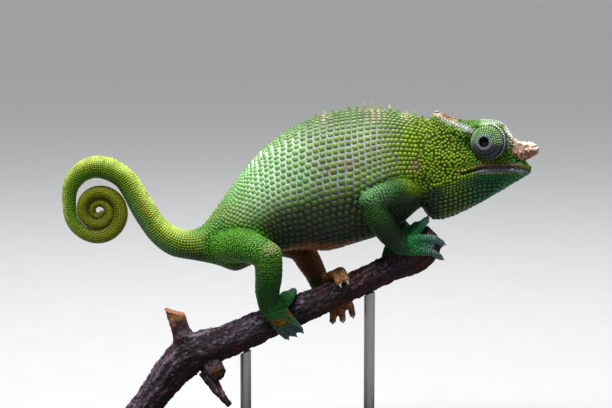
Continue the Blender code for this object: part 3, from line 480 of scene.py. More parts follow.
def tube(route: Array, sides: int, count: int, domed: bool = True, grow: float = 0.0) -> Form:
    """A round limb along a path: circles carried square to it, with quarter-circle domes on its ends.

    Args:
        route: Rows of x, y, z and radius.
        sides: Points round each circle.
        count: Circles along it.
        domed: Whether the ends are rounded.
        grow: Added to the radius.

    Returns:
        The form.
    """
    rows = evenly(route, count)
    middle, radius = rows[:, :3], rows[:, 3] + grow
    along = headed(middle)
    offset, scale = np.zeros(count), np.ones(count)
    if domed:
        rise = np.radians(DOME_RISE)
        row = np.clip(np.arange(-len(rise), count + len(rise)), 0, count - 1)
        middle, along, radius = middle[row], along[row], radius[row]
        offset = np.concatenate((-np.sin(rise), offset, np.sin(rise[::-1])))
        scale = np.concatenate((np.cos(rise), scale, np.cos(rise[::-1])))
    middle = middle + along * (offset * radius)[:, None]
    side = np.array((0.0, 0.0, 1.0)) if abs(along[0][2]) < 0.8 else np.array((1.0, 0.0, 0.0))
    rings = []
    for place, way, size in zip(middle, along, radius * scale):
        side = unit(side - way * np.dot(side, way))
        rings.append(place + size * circle(turns_of(sides), side, np.cross(way, side)))
    return lofted(np.array(rings))


def turned(profile: Array, centre: Array, axis: Array, sides: int) -> Form:
    """A closed shape turned round an axis from rows of distance and height that start and end on it."""
    profile = np.asarray(profile, float)
    side = unit(np.cross(axis, (0.0, 0.0, 1.0)))
    ring = circle(turns_of(sides), side, np.cross(axis, side))
    inner = profile[1:-1]
    form = lofted(centre + inner[:, None, 1:] * axis + inner[:, None, :1] * ring)
    form.points[-2] = centre + profile[0, 1] * axis
    form.points[-1] = centre + profile[-1, 1] * axis
    return form


class Piece:
    """Makes Blender objects out of forms."""

    @staticmethod
    def mesh(name: str, form: Form, tint: Array = None, uv: Array = None) -> bpy.types.Mesh:
        """A mesh in metres.

        Args:
            name: The mesh's name.
            form: Its points and faces.
            tint: Amounts of light, one row a point, kept as the attribute Tint.
            uv: Places on the unwrap, one row a point, kept as the map OFBake.

        Returns:
            The mesh, smooth shaded.
        """
        mesh = bpy.data.meshes.new(name)
        corners = np.concatenate([group.ravel() for group in form.faces])
        sizes = np.concatenate([np.full(len(group), group.shape[1]) for group in form.faces])
        mesh.vertices.add(len(form.points))
        mesh.vertices.foreach_set("co", (form.points * MM).ravel())
        mesh.loops.add(len(corners))
        mesh.loops.foreach_set("vertex_index", corners)
        mesh.polygons.add(len(sizes))
        mesh.polygons.foreach_set("loop_start", np.concatenate(([0], np.cumsum(sizes)[:-1])))
        mesh.update(calc_edges=True)
        mesh.validate()
        if tint is not None:
            layer = mesh.color_attributes.new(name="Tint", type="FLOAT_COLOR", domain="POINT")
            layer.data.foreach_set("color", np.column_stack((tint, np.ones(len(tint)))).ravel())
        if uv is not None:
            layer = mesh.uv_layers.new(name="OFBake")
            layer.data.foreach_set("uv", uv[corners].ravel())
        mesh.shade_smooth()
        return mesh

    @staticmethod
    def shown(
        name: str, form: Form, tint: Array, material: Material, slot: str, uv: Array = None,
    ) -> bpy.types.Object:
        """Puts a form in the scene as a piece that rides on the root body.

        Args:
            name: The piece's name.
            form: Its points and faces.
            tint: Its colours.
            material: Its material.
            slot: What the piece is; it is not used.
            uv: Its places on the unwrap.

        Returns:
            The piece's object.
        """
        mesh = Piece.mesh(name, form, tint, uv)
        obj = bpy.data.objects.new(name, mesh)
        mesh.materials.append(material)
        bpy.context.scene.collection.objects.link(obj)
        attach(obj, "root")
        LOG.info("%s: %d faces", name, len(mesh.polygons))
        return obj

    @staticmethod
    def fused(form: Form, voxel: float, rounds: int) -> Form:
        """Overlapping closed forms as one closed surface, rebuilt on a grid of cubes and then smoothed.

        Args:
            form: The joined forms.
            voxel: The side of a cube in millimetres.
            rounds: How many times each point moves half way to the mean of its neighbours.

        Returns:
            The surface as a form of four-sided faces.
        """
        obj = bpy.data.objects.new("fusing", Piece.mesh("fusing", form))
        bpy.context.scene.collection.objects.link(obj)
        grid = obj.modifiers.new("grid", "REMESH")
        grid.mode = "VOXEL"
        grid.voxel_size = voxel * MM
        even = obj.modifiers.new("even", "SMOOTH")
        even.factor = 0.5
        even.iterations = rounds
        mesh = bpy.data.meshes.new_from_object(obj.evaluated_get(bpy.context.evaluated_depsgraph_get()))
        points = np.empty(3 * len(mesh.vertices))
        mesh.vertices.foreach_get("co", points)
        corners = np.empty(len(mesh.loops), int)
        mesh.loops.foreach_get("vertex_index", corners)
        bpy.data.objects.remove(obj)
        bpy.data.meshes.remove(mesh)
        return Form(points.reshape(-1, 3) / MM, [corners.reshape(-1, 4)])


def normals_of(form: Form) -> Array:
    """Unit normals at a form's points: the sum of the crossed sides or diagonals of the faces round each."""
    total = np.zeros_like(form.points)
    for group in form.faces:
        corner = [form.points[column] for column in group.T]
        if len(corner) > 3:
            flat = np.cross(corner[2] - corner[0], corner[-1] - corner[1])
        else:
            flat = np.cross(corner[1] - corner[0], corner[2] - corner[0])
        for column in group.T:
            np.add.at(total, column, flat)
    return unit(total)


@dataclass
class Body:
    """The line of sections from inside the head to the tip of the tail."""

    coil_x: float = -80.6
    coil_z: float = 96.4
    coil_turn: float = math.radians(900)
    coil_outer: float = 11.6
    coil_inner: float = 1.6
    coil_tightens: float = 1.45
    coil_depth: float = 2.85
    coil_tip_depth: float = 0.7
    coil_thins: float = 1.1
    pinch: float = 0.3
    sag: float = 0.14
    rows: Array = field(init=False)
    length: Array = field(init=False)

    def __post_init__(self) -> None:
        """Works out the dense sections, with lengths counted back from the nape."""
        places = np.linspace(0, len(BODY) - 1, 625)
        stations = smooth(BODY, places)
        s = np.linspace(0, 1, 600)[1:]
        turn = math.pi / 2 + self.coil_turn * s
        radius = self.coil_inner + (self.coil_outer - self.coil_inner) * (1 - s) ** self.coil_tightens
        depth = self.coil_depth + (self.coil_tip_depth - self.coil_depth) * s**self.coil_thins
        outward = np.column_stack((-np.sin(turn), np.cos(turn)))
        centre = np.array((self.coil_x, self.coil_z))
        back = centre + outward * (radius + depth)[:, None]
        belly = centre + outward * (radius - depth)[:, None]
        self.rows = np.vstack((stations, np.column_stack((back, belly, 0.95 * depth))))
        middle = (self.rows[:, :2] + self.rows[:, 2:4]) / 2
        run = summed(np.hypot(*np.diff(middle, axis=0).T))
        self.length = run - np.interp(1.0, places, run[: len(places)])

    def rings(self, lengths: Array, turns: Array, grow: Array = 0.0) -> Array:
        """Rings across the body: an oval pinched toward the back and sagging to the belly where it is deep.

        Args:
            lengths: Lengths back from the nape.
            turns: Angles round the section from the ridge of the back.
            grow: Added to the half width and half depth, one number or one for each length.

        Returns:
            Places, indexed by length and by turn.
        """
        back_x, back_z, belly_x, belly_z, width = (np.interp(lengths, self.length, c) for c in self.rows.T)
        half = np.column_stack((back_x - belly_x, back_z - belly_z)) / 2
        depth = np.hypot(*half.T)
        up_way = half / depth[:, None]
        trunk = np.clip((depth - 6) / 12, 0, 1)[:, None]
        angle = np.asarray(turns)[None, :] + math.pi / 2
        cos, sin = np.cos(angle), np.sin(angle)
        grow = np.broadcast_to(grow, np.shape(lengths))[:, None]
        across = (width[:, None] + grow) * np.sign(cos) * np.abs(cos) ** (1 + self.pinch * trunk * (sin > 0))
        up = (depth[:, None] + grow) * (sin - self.sag * trunk * cos**2)
        x = (back_x + belly_x)[:, None] / 2 + up_way[:, :1] * up
        z = (back_z + belly_z)[:, None] / 2 + up_way[:, 1:] * up
        return np.stack((x, across, z), axis=-1)

    def place(self, points: Array) -> tuple:
        """For each point the length of its nearest section, its height in it from -1 to 1 and its angle."""
        middle = (self.rows[:, :2] + self.rows[:, 2:4]) / 2
        half = (self.rows[:, :2] - self.rows[:, 2:4]) / 2
        depth = np.hypot(*half.T)
        flat = points[:, [0, 2]]
        row = least(flat, lambda part: ((part[:, None] - middle) ** 2).sum(axis=-1) / depth**2)
        height = ((flat - middle[row]) * half[row]).sum(axis=1) / depth[row] ** 2
        return self.length[row], height, np.arctan2(points[:, 1] / self.rows[row, 4], height)

    def strip(self, points: Array) -> tuple:
        """For each point its length as a share of the whole, and its angle."""
        length, _, angle = self.place(points)
        start, end = self.length[[0, -1]]
        return (length - start) / (end - start), angle


@dataclass
class Head:
    """The head's shape from its feature lines."""

    nape_lean: float = 0.068
    nape_z: float = 115.6
    corner_x: float = 63.6
    lip_round: float = 0.5
    lip_height: float = 1.1
    near_eye: tuple = (74.4, -6.2, 124.8)
    near_turn: float = math.radians(21)
    far_eye: tuple = (77.2, 6.2, 124.8)
    far_turn: float = math.radians(-36)
    nostril: tuple = (85.2, 118.6)

    def lines(self, count: int) -> dict:
        """The feature lines read at places spread evenly over the stations."""
        return dict(zip(HEAD, dense(np.column_stack(list(HEAD.values())), count).T))

    def at(self, x: Array, name: str) -> Array:
        """One feature line read at places along X."""
        lines = self.lines(200)
        return np.interp(x, lines["x"], lines[name])

    def rings(self, stations: int, across: int, grow: float = 0.0) -> Array:
        """Rings across the head, from the ridge of the casque round each side to the throat.

        Each is a smooth curve through the feature lines, with a bulge for either lip and a groove between.

        Args:
            stations: Rings from the nape to the tip of the lip.
            across: Points on each half.
            grow: How far the surface moves outward.

        Returns:
            Places, indexed by ring and by side.
        """
        f = self.lines(stations)
        lip = np.clip((f["x"] - self.corner_x) / 4 + 1, 0, 1)
        zero = np.zeros(stations)
        thin = np.minimum(1, f["lip_y"] / 5)
        half = (
            (zero, f["ridge_z"]), (f["roof_y"], f["roof_z"]), (f["crest_y"], f["crest_z"]),
            (f["temple_y"], f["temple_z"]), (f["cheek_y"], f["cheek_z"]),
            (f["lip_y"] - self.lip_round * lip, f["mouth_z"] + 2.1),
            (f["lip_y"] + self.lip_round * lip, f["mouth_z"] + 0.9),
            (f["lip_y"] - self.lip_round * 1.6 * lip, f["mouth_z"]),
            (
                f["lip_y"] + self.lip_round * (0.6 * lip - 0.3),
                f["mouth_z"] - self.lip_height * thin,
            ),
            (f["jaw_y"], f["jaw_z"]), (f["throat_y"], f["throat_side_z"]), (zero, f["throat_z"]),
        )
        keys = np.array([np.column_stack(pair) for pair in half]).transpose(1, 0, 2)
        spots = np.linspace(0, len(half) - 1, across)
        rings = []
        for station, key in zip(f["x"], keys):
            right = smooth(key, spots)
            right[[0, -1], 0] = 0.0
            ring = np.vstack((right, right[-2:0:-1] * (-1, 1)))
            middle = np.array((0.0, (key[0, 1] + key[-1, 1]) / 2))
            ring = ring + unit(ring - middle) * grow
            fade = np.clip(1 - (station - HEAD["x"][0]) / 6, 0, 1)
            lean = self.nape_lean * (ring[:, 1] - self.nape_z) * fade
            rings.append(np.column_stack((station + lean, ring)))
        tip = rings[-1]
        middle = tip.mean(axis=0)
        for forward, size in ((0.55, 0.86), (0.95, 0.62), (1.15, 0.3)):
            rings.append(middle + (tip - middle) * size + (forward, 0, 0))
        return np.array(rings)

    def eye(self, side: int) -> tuple:
        """The middle and the axis of a turret. side is -1 on the right and 1 on the left."""
        centre, turn = (self.near_eye, self.near_turn) if side < 0 else (self.far_eye, self.far_turn)
        return np.array(centre), unit(np.array((-math.sin(turn), side * math.cos(turn), 0.04)))

    def about_eye(self, points: Array, side: int) -> tuple:
        """For each point its way out from a turret's axis, square to the axis, and how long that is."""
        centre, axis = self.eye(side)
        off = points - centre
        flat = off - (off @ axis)[:, None] * axis
        return flat, np.linalg.norm(flat, axis=1)

    def from_nostril(self, points: Array) -> Array:
        """For each point its distance from the nostril, seen from the side."""
        return np.hypot(points[:, 0] - self.nostril[0], points[:, 2] - self.nostril[1])


@dataclass
class Branch:
    """The line of the cut branch that the animal grips."""

    foot_z: float = BRANCH_FOOT_Z
    rows: Array = field(init=False)
    way: Array = field(init=False)
    length: Array = field(init=False)

    def __post_init__(self) -> None:
        """Works out the dense line."""
        self.rows = dense(BRANCH, 300)
        self.way = headed(self.rows[:, :2])
        self.length = summed(np.hypot(*np.diff(self.rows[:, :2], axis=0).T))

    def laid(self, route: Array, radius: Array) -> Array:
        """Moves each place of a toe out from the branch until the toe just rests on the bark.

        Args:
            route: Places of the toe.
            radius: Its radius at each.

        Returns:
            The moved places.
        """
        route = np.asarray(route, float)
        span = np.hypot(*(self.rows[None, :, :2] - route[:, None, [0, 2]]).transpose(2, 0, 1))
        nearest = np.argmin(span, axis=1)
        x, z, high, wide = self.rows[nearest].T
        up = np.column_stack((-self.way[nearest, 1], np.zeros(len(route)), self.way[nearest, 0]))
        from_axis = route - np.column_stack((x, np.zeros(len(route)), z))
        rise, out = (from_axis * up).sum(axis=1), route[:, 1]
        reach = np.hypot(rise, out)
        bark = 1 / np.hypot(rise / reach / high, out / reach / wide)
        clear = np.maximum(0.0, bark + 0.8 * radius + 0.3 - reach) / reach
        return route + clear[:, None] * (up * rise[:, None] + np.column_stack((0 * out, out, 0 * out)))

    def around(self, points: Array) -> tuple:
        """For each point the length along the stem and the angle round it."""
        flat, line = points[:, [0, 2]], self.rows[:, :2]
        row = least(flat, lambda part: ((part[:, None] - line[None]) ** 2).sum(axis=-1))
        off = flat - line[row]
        rise = off[:, 1] * self.way[row, 0] - off[:, 0] * self.way[row, 1]
        return self.length[row], np.arctan2(points[:, 1], rise)


@dataclass
class Legs:
    """The four legs with their gripping feet."""

    branch: Branch
    toe_root: float = 2.1
    toe_tip: float = 1.5
    claw_length: float = 1.0
    toe_strip: float = 0.68
    toe_step: float = 0.064
    toe_width: float = 0.06
    count: int = 4
    samples: Array = field(init=False)
    ways: Array = field(init=False)
    sides: Array = field(init=False)

    def __post_init__(self) -> None:
        """Samples every limb and toe.

        A sample is a place, a radius, how far down the leg it is from 0 to 1, the number of the leg and
        its place along the strip that the limb gets on the unwrap, with the limb's direction and one
        direction square to it.
        """
        rows, ways, sides = [], [], []
        for number, route, down, strip in self.routes():
            count = 24 if down[0] < 0.75 else 12
            line = evenly(route, count)
            way = headed(line[:, :3])
            spread = np.linspace(*down, count), np.full(count, number), np.linspace(*strip, count)
            rows.append(np.column_stack((line, *spread)))
            ways.append(way)
            sides.append(self.square_to(way))
        self.samples, self.ways, self.sides = np.vstack(rows), np.vstack(ways), np.vstack(sides)

    @staticmethod
    def square_to(way: Array) -> Array:
        """Directions square to those of a limb, and to the axis that the limb runs least along."""
        return unit(np.cross(way, np.eye(3)[np.argmin(np.abs(way.mean(axis=0)))]))

    @staticmethod
    def limbs(number: int) -> tuple:
        """The three limbs of a leg."""
        return LIMBS[LIMBS_A_LEG * number:LIMBS_A_LEG * (number + 1)]

    def routes(self) -> list:
        """Every limb and toe: number of the leg, route, stretch down the leg and strip on the unwrap."""
        made = []
        for number in range(self.count):
            for part, (route, strip) in enumerate(zip(self.limbs(number), LIMB_STRIPS)):
                made.append((number, route, (part / 4, (part + 1) / 4), strip))
            for part, toe in enumerate(self.toes(number)):
                start = self.toe_strip + self.toe_step * part
                strip = (start, start + self.toe_width)
                made.append((number, np.column_stack(toe), (0.75, 1.0), strip))
        return made

    def toes(self, number: int) -> list:
        """The toes of one foot laid on the bark: pairs of places and radii."""
        laid = []
        for route in TOES[TOES_A_LEG * number:TOES_A_LEG * (number + 1)]:
            radius = np.linspace(self.toe_root, self.toe_tip, len(route))
            laid.append((self.branch.laid(route, radius), radius))
        return laid

    def forms(self, grow: float) -> list:
        """The limbs, palms, toes and the flesh that joins each bundle of toes."""
        made = []
        for number in range(self.count):
            made += [tube(route, 32, 24, grow=grow) for route in self.limbs(number)]
            toes = self.toes(number)
            made += [tube(np.column_stack(toe), 20, 14, grow=grow) for toe in toes]
            for one, two in FORE_WEBS if number < 2 else HIND_WEBS:
                web = (toes[one][0] + toes[two][0]) / 2
                size = np.linspace(1.9, 1.0, len(web))
                made.append(tube(np.column_stack((web, size))[:3], 16, 8, grow=grow))
        return made

    def beside(self, points: Array) -> tuple:
        """For each point its distance outside the nearest limb and the number of the nearest sample."""
        places, radius = self.samples[:, :3], self.samples[:, 3]
        row = least(points, lambda part: np.sqrt(((part[:, None] - places) ** 2).sum(axis=-1)) - radius, 4000)
        return np.sqrt(((points - places[row]) ** 2).sum(axis=-1)) - radius[row], row

    def nearest(self, points: Array) -> tuple:
        """For each point its distance outside the nearest limb, how far down the leg it is and which leg."""
        off, index = self.beside(points)
        return off, self.samples[index, 4], self.samples[index, 5]

    def strips(self, points: Array) -> Array:
        """Places on the unwrap: along the strip of the nearest limb, and round it, both from 0 to 1."""
        _, index = self.beside(points)
        out = points - self.samples[index, :3]
        other = np.cross(self.ways[index], self.sides[index])
        turn = np.arctan2((out * other).sum(axis=1), (out * self.sides[index]).sum(axis=1))
        leg = self.samples[index, 5]
        return np.column_stack((self.samples[index, 6], (leg + 0.96 * (turn / (2 * math.pi) + 0.5)) / 4))

    def claws(self) -> Form:
        """A curved, pointed claw at the tip of every toe."""
        made = []
        for number in range(self.count):
            for toe, _ in self.toes(number):
                way = unit(toe[-1] - toe[-2])
                down = np.array((0.0, -np.sign(toe[-1][1] - 0.1), -0.6)) * 0.25
                tip = toe[-1] + way * self.toe_tip * 0.5
                reach = self.toe_tip * 0.5 + self.claw_length
                bent = unit(way + down)
                route = (
                    (*tip, 0.62), (*(tip + way * reach * 0.45), 0.5),
                    (*(tip + way * reach * 0.7 + bent * reach * 0.12), 0.33),
                    (*(tip + way * reach * 0.8 + bent * reach * 0.3), 0.12),
                )
                made.append(tube(route, 10, 8))
        return Form.joined(made)


@dataclass
class Markings:
    """The colours of the animal, the same for its skin and its scales."""

    body: Body
    head: Head
    legs: Legs

    def of(self, points: Array) -> tuple:
        """The colours at places on the animal.

        Args:
            points: Places in millimetres.

        Returns:
            The colour of the scales and that of the skin between them, one row a point each.
        """
        length, height, _ = self.body.place(points)
        coat, skin = self._trunk(points, height)
        tail_coat, tail_skin = self._tail(length, height)
        tail = ramp(length, 94, 116)
        coat, skin = mixed(coat, tail_coat, tail), mixed(skin, tail_skin, tail)
        coat, skin = self._head(points, coat, skin)
        off, down, leg = self.legs.nearest(points)
        limb_coat, limb_skin = self._leg(points, down, leg)
        limb = fall(off, 0.3, 3.4)
        coat, skin = mixed(coat, limb_coat, limb), mixed(skin, limb_skin, limb)
        shade = (1 + 0.13 * grain(points, 9, 1) + 0.1 * grain(points, 3, 2))[:, None]
        return np.clip(coat * shade, 0, 1), np.clip(skin * shade, 0, 1)

    def open(self, points: Array, length: Array, height: Array) -> Array:
        """How far the scales of the flank stand apart, from 0 to 1."""
        x = points[:, 0]
        return ramp(height, -0.85, -0.5) * fall(x, 34, 50) * fall(length, 84, 104)

    def _trunk(self, points: Array, height: Array) -> tuple:
        """Yellow-green scales in pale lilac lines, mint at the rear and rusty toward the belly, with painted
        shade that darkens the lower flank and the skin under the neck.
        """
        x, _, z = points.T
        patch, fine = grain(points, 8, 21), grain(points, 2.8, 22)
        rear = fall(x, -14, 14) * ramp(z, 90, 108)
        coat = layered(
            Tone.LEAF,
            (Tone.LIME, ramp(x, 20, 44) * 0.9),
            (Tone.GREEN, ramp(patch + 0.5 * fine, 0.1, 0.7) * fall(x, 38, 50) * 0.85),
            (Tone.MINT, rear * 0.5),
            (Tone.SAGE, ramp(height, 0.55, 0.9) * fall(x, 36, 50) * 0.75),
            # Painted shade: the lower flank darkens toward the belly.
            (Tone.SHADE, ramp(-height, -0.02, 0.4) * 0.9),
            (Tone.PAINTED_SHADOW, ramp(-height, 0.45, 0.8) * 0.85),
        )
        pale = ramp(height, -0.5, 0) * fall(x, 26, 44) * (0.35 + 0.65 * ramp(x, -32, -16))
        pale = pale * (1 - 0.85 * ramp(height, 0.6, 0.92)) * ramp(x, -46, -32) * (0.85 + 0.15 * rear)
        # Painted shade: the lilac lines between the scales darken low on the flank.
        low = ramp(-height, -0.1, 0.3) * fall(-height, 0.62, 0.86) * fall(x, 30, 46)
        skin = layered(coat * 0.22, (mixed(Tone.LILAC, Tone.FROST, rear), pale), (Tone.GROUT_SHADE, low * 0.9))
        belly = ramp(-height, 0.78 + 0.06 * fine, 0.93 + 0.06 * fine) * ramp(x, -12, 0) * fall(x, 16, 32)
        both = [(Tone.RUST, belly * 0.9)]
        both += [(Tone.ROSE, bump(x, at, size) * bump(z, up, size) * 0.7) for at, up, size in ROSE_SPOTS]
        coat = layered(coat, *both)
        for at, size in WARM_SPINES:
            warm = bump(x, at, size) * ramp(height, 0.7, 0.95) * (0.6 + 0.4 * fine)
            coat = mixed(coat, Tone.CREAM, np.clip(warm, 0, 1) * 0.7)
        # Painted shadow under the neck, between the forelegs.
        under = fall(z, 96, 108) * ramp(x, 40, 48) * 0.75
        vent = bump(x, -28.5, 3.5) * bump(z, 72.6, 2)
        coat = layered(coat, (Tone.RUST, vent * 0.8), (Tone.PAINTED_SHADOW, under))
        return coat, layered(skin, *both, (Tone.PAINTED_SHADOW.light * 0.5, under))

    def _tail(self, length: Array, height: Array) -> tuple:
        """Green with pale yellow rings and streaks above and mint below, browner under, olive in the coil."""
        ring_grain = grain(np.column_stack((length * 0.9, 5 * height, 0 * length)), 1.6, 23)
        streak = ramp(grain(np.column_stack((length * 0.25, 5 * height, 0 * length)), 1, 27), 0.25, 0.7)
        coil = ramp(length, 176, 200)
        coat = layered(
            Tone.LEAF,
            (Tone.PALE_LIME, ramp(height, 0, 0.7) * (0.7 + 0.3 * ring_grain)),
            (Tone.MINT.light * 0.7, ramp(-height, 0, 0.6) * fall(length, 124, 146) * 0.85),
            (Tone.GREEN, ramp(-height, 0, 0.7) * ramp(length, 124, 146) * 0.6),
            (Tone.OLIVE, coil),
            (Tone.OLIVE_DARK, coil * fall(height, -0.9, 0.3) * 0.75),
            (Tone.RUST, bump(height, -1, 0.14) * fall(length, 132, 160) * 0.8),
            (Tone.ORANGE, streak * ramp(height, -0.3, 0.2) * fall(length, 150, 176) * 0.3),
        )
        return coat, coat * 0.34

    def _leg(self, points: Array, down: Array, leg: Array) -> tuple:
        """Bright green thighs and elbows, deep green shanks, teal feet with grey toes and orange soles;
        painted highlights on the elbows and knees, painted shade under the upper arms and on the far thigh.
        """
        x, y, z = points.T
        hind = (leg > 1.5).astype(float)
        fore, far, tips = 1 - hind, leg == 3, ramp(down, 0.82, 0.94)
        patch = bump(x, -8.2, 3) * bump(z, 53.4, 1.5)
        small_patch = 0.5 * bump(x, -3.6, 2) * bump(z, 57, 1.6)
        inner = (leg < 2.5) * ramp(down, 0.8, 0.88) * ramp(y, -3, 0) * fall(y, 4, 6)
        coat = layered(
            Tone.GREEN.light * 0.42,
            (Tone.THIGH, hind * fall(down, 0.2, 0.4)),
            # Painted shade under the upper arms.
            (Tone.MOSS_AND_SHADE, fore * fall(down, 0.24, 0.3) * fall(z, 103.5, 108.5) * 0.92),
            (Tone.LIME, fore * fall(down, 0.03, 0.14) * ramp(z, 102, 105) * 0.9),
            # Painted highlights: pale mint on top of the elbows and cream on top of the knees.
            (Tone.MINT, fore * bump(down, 0.24, 0.07) * ramp(z, 99, 104) * 0.5),
            (Tone.CREAM, hind * bump(down, 0.25, 0.022) * ramp(z, 80, 85) * 0.4),
            (Tone.GRASS, hind * ramp(down, 0.27, 0.38)),
            (Tone.MOSS_AND_SHADE, fore * ramp(down, 0.28, 0.4) * 0.95),
            (Tone.GREEN, hind * ramp(down, 0.46, 0.6) * 0.6),
            (Tone.TEAL, ramp(down, 0.44, 0.6) * (0.9 - 0.4 * hind)),
            (Tone.SLATE, tips * 0.75),
            (Tone.ORANGE, np.maximum(patch, small_patch) * (leg == 2) * fall(y, -8, -5) * 0.8),
            (Tone.ORANGE, far * ramp(down, 0.66, 0.76) * (0.95 - 0.3 * tips)),
            # Painted shade: brown on the inner face of the far thigh.
            (Tone.UMBER_SHADE, far * fall(down, 0.42, 0.5) * fall(y, 10.5, 14) * fall(z, 79, 83) * 0.9),
            (Tone.ORANGE, inner * (1 - 0.6 * tips) * 0.6),
        )
        return coat, coat * 0.24

    def _head(self, points: Array, coat: Array, skin: Array) -> tuple:
        """Lays the head's colours over the body's."""
        x, _, z = points.T
        above = z - self.head.at(x, "mouth_z")
        tone, gap = self._cheek(points, above)
        chin, front = ramp(-above, 1.6, 3), ramp(x, 60, 74)
        spots = ramp(-above, 6, 8) * ramp(x, 54.5, 57.5) * fall(x, 64.5, 70) * fall(-above, 13.5, 16)
        throat = layered(
            Tone.LEAF.light * 0.8,
            (Tone.SEA, front * (1 - 0.35 * ramp(-above, 7, 12))),
            # Painted shadow at the rear of the throat.
            (Tone.PAINTED_SHADOW, fall(x, 54, 60) * 0.85),
            (Tone.TEAL.light * 0.6, ramp(-above, 5, 11) * ramp(x, 58, 68) * 0.8),
            (Tone.LIME.light * 0.65, spots * 0.85),
        )
        rim = bump(above, 0.95, 0.85) * (ramp(x, 67, 71) + 0.6 * bump(x, 63.5, 1.6)) * fall(x, 87.5, 90)
        lower = ramp(-above, 0.05, 0.35) * fall(-above, 1.5, 2.1) * ramp(x, 68, 71)
        teeth = bump(above, -1.95, 0.4) * bump(x, 76.5, 5)
        mouth_line = bump(above, 0, 0.4) * ramp(x, 62, 66) * (0.25 + 0.75 * fall(x, 70, 76))
        tone = layered(
            tone, (throat, chin), (Tone.LIP, rim * 0.85), (Tone.ASH, lower * 0.95),
            (Tone.HORN_LIGHT.light * 0.7, teeth),
        )
        gap = layered(
            gap, (Tone.SEA_DARK.light * 0.5, chin),
            (Tone.SEA.light * 0.8, chin * front * fall(-above, 3.5, 5.5) * 0.8),
            (Tone.LIP.light * 0.7, rim * 0.85), (Tone.ASH.light * 0.6, lower * 0.95),
            (Tone.BLACK, mouth_line),
        )
        for cover, amount in self._crests(points):
            tone = mixed(tone, cover, amount)
            gap = mixed(gap, cover.light * 0.6, amount * 0.9)
        head = ramp(x, 48, 56) * ramp(z, 90, 93)
        return mixed(coat, tone, head), mixed(skin, gap, head)

    def _cheek(self, points: Array, above: Array) -> tuple:
        """Yellow-green cheeks, greener before and behind the eye and duller on the casque.

        Args:
            points: Places in millimetres.
            above: Their heights above the line of the mouth.

        Returns:
            The colour of the scales and that of the skin between them.
        """
        x, _, z = points.T
        tone = layered(
            Tone.LEAF,
            (Tone.LIME, bump(x, 60, 10) * bump(z, 118, 11) * 0.9),
            (Tone.GREEN, ramp(x, 62, 67) * fall(x, 72, 80) * ramp(above, 2, 4) * 0.6),
            (Tone.GREEN, ramp(x, 78, 84) * ramp(above, 0.6, 1.8) * 0.9),
            (Tone.SAGE, ramp(z, 130.5, 133) * 0.6),
            (Tone.LIME.light * 0.9, bump(x, 65, 2.6) * bump(z, 118.5, 4.5) * 0.8),
            (Tone.GRASS, bump(x, 64.5, 3.6) * bump(z, 125.6, 3.2) * 0.6),
        )
        return tone, tone * 0.12

    def _crests(self, points: Array) -> tuple:
        """Tones and amounts of the casque, the pale band below it, the painted highlight on the brow and the
        ridge to the horn.
        """
        x, y, z = points.T
        band = np.interp(x, *PALE_BAND)
        pale = bump(z, band, 1.05) * ramp(x, 54.5, 57) * fall(x, 66.5, 71) * ramp(np.abs(y), 1.6, 2.8)
        top = ramp(z - self.head.at(x, "ridge_z"), -2.4, -1) * fall(x, 60.5, 63.5) * ramp(x, 50.5, 52)
        brick = top * ramp(x, 55.2, 57) * fall(x, 59.6, 62) * ramp(grain(points, 1.8, 24), -0.9, 0)
        return (
            (Tone.PALE, pale * (0.8 + 0.35 * grain(points, 0.9, 25))),
            # Painted highlight on the top of the brow.
            (Tone.BROW_HIGHLIGHT, ramp(z, 130.6, 132) * ramp(x, 70, 73.5) * fall(x, 83, 85.5) * 0.85),
            (Tone.HORN_LIGHT, ramp(z, 122.5, 125.5) * ramp(x, 80.5, 82.5) * 0.7),
            (Tone.CREAM, top * 0.9),
            (Tone.HORN_LIGHT, top * fall(x, 55.5, 58) * 0.6),
            (Tone.FROST, bump(x, 83.2, 1.9) * bump(z, 128.6, 2.2) * 0.8),
            (Tone.BRICK, brick * 0.85),
            (Tone.LIP, bump(x, 68.6, 2.6) * bump(z, band - 1.9, 1.3) * 0.6),
        )


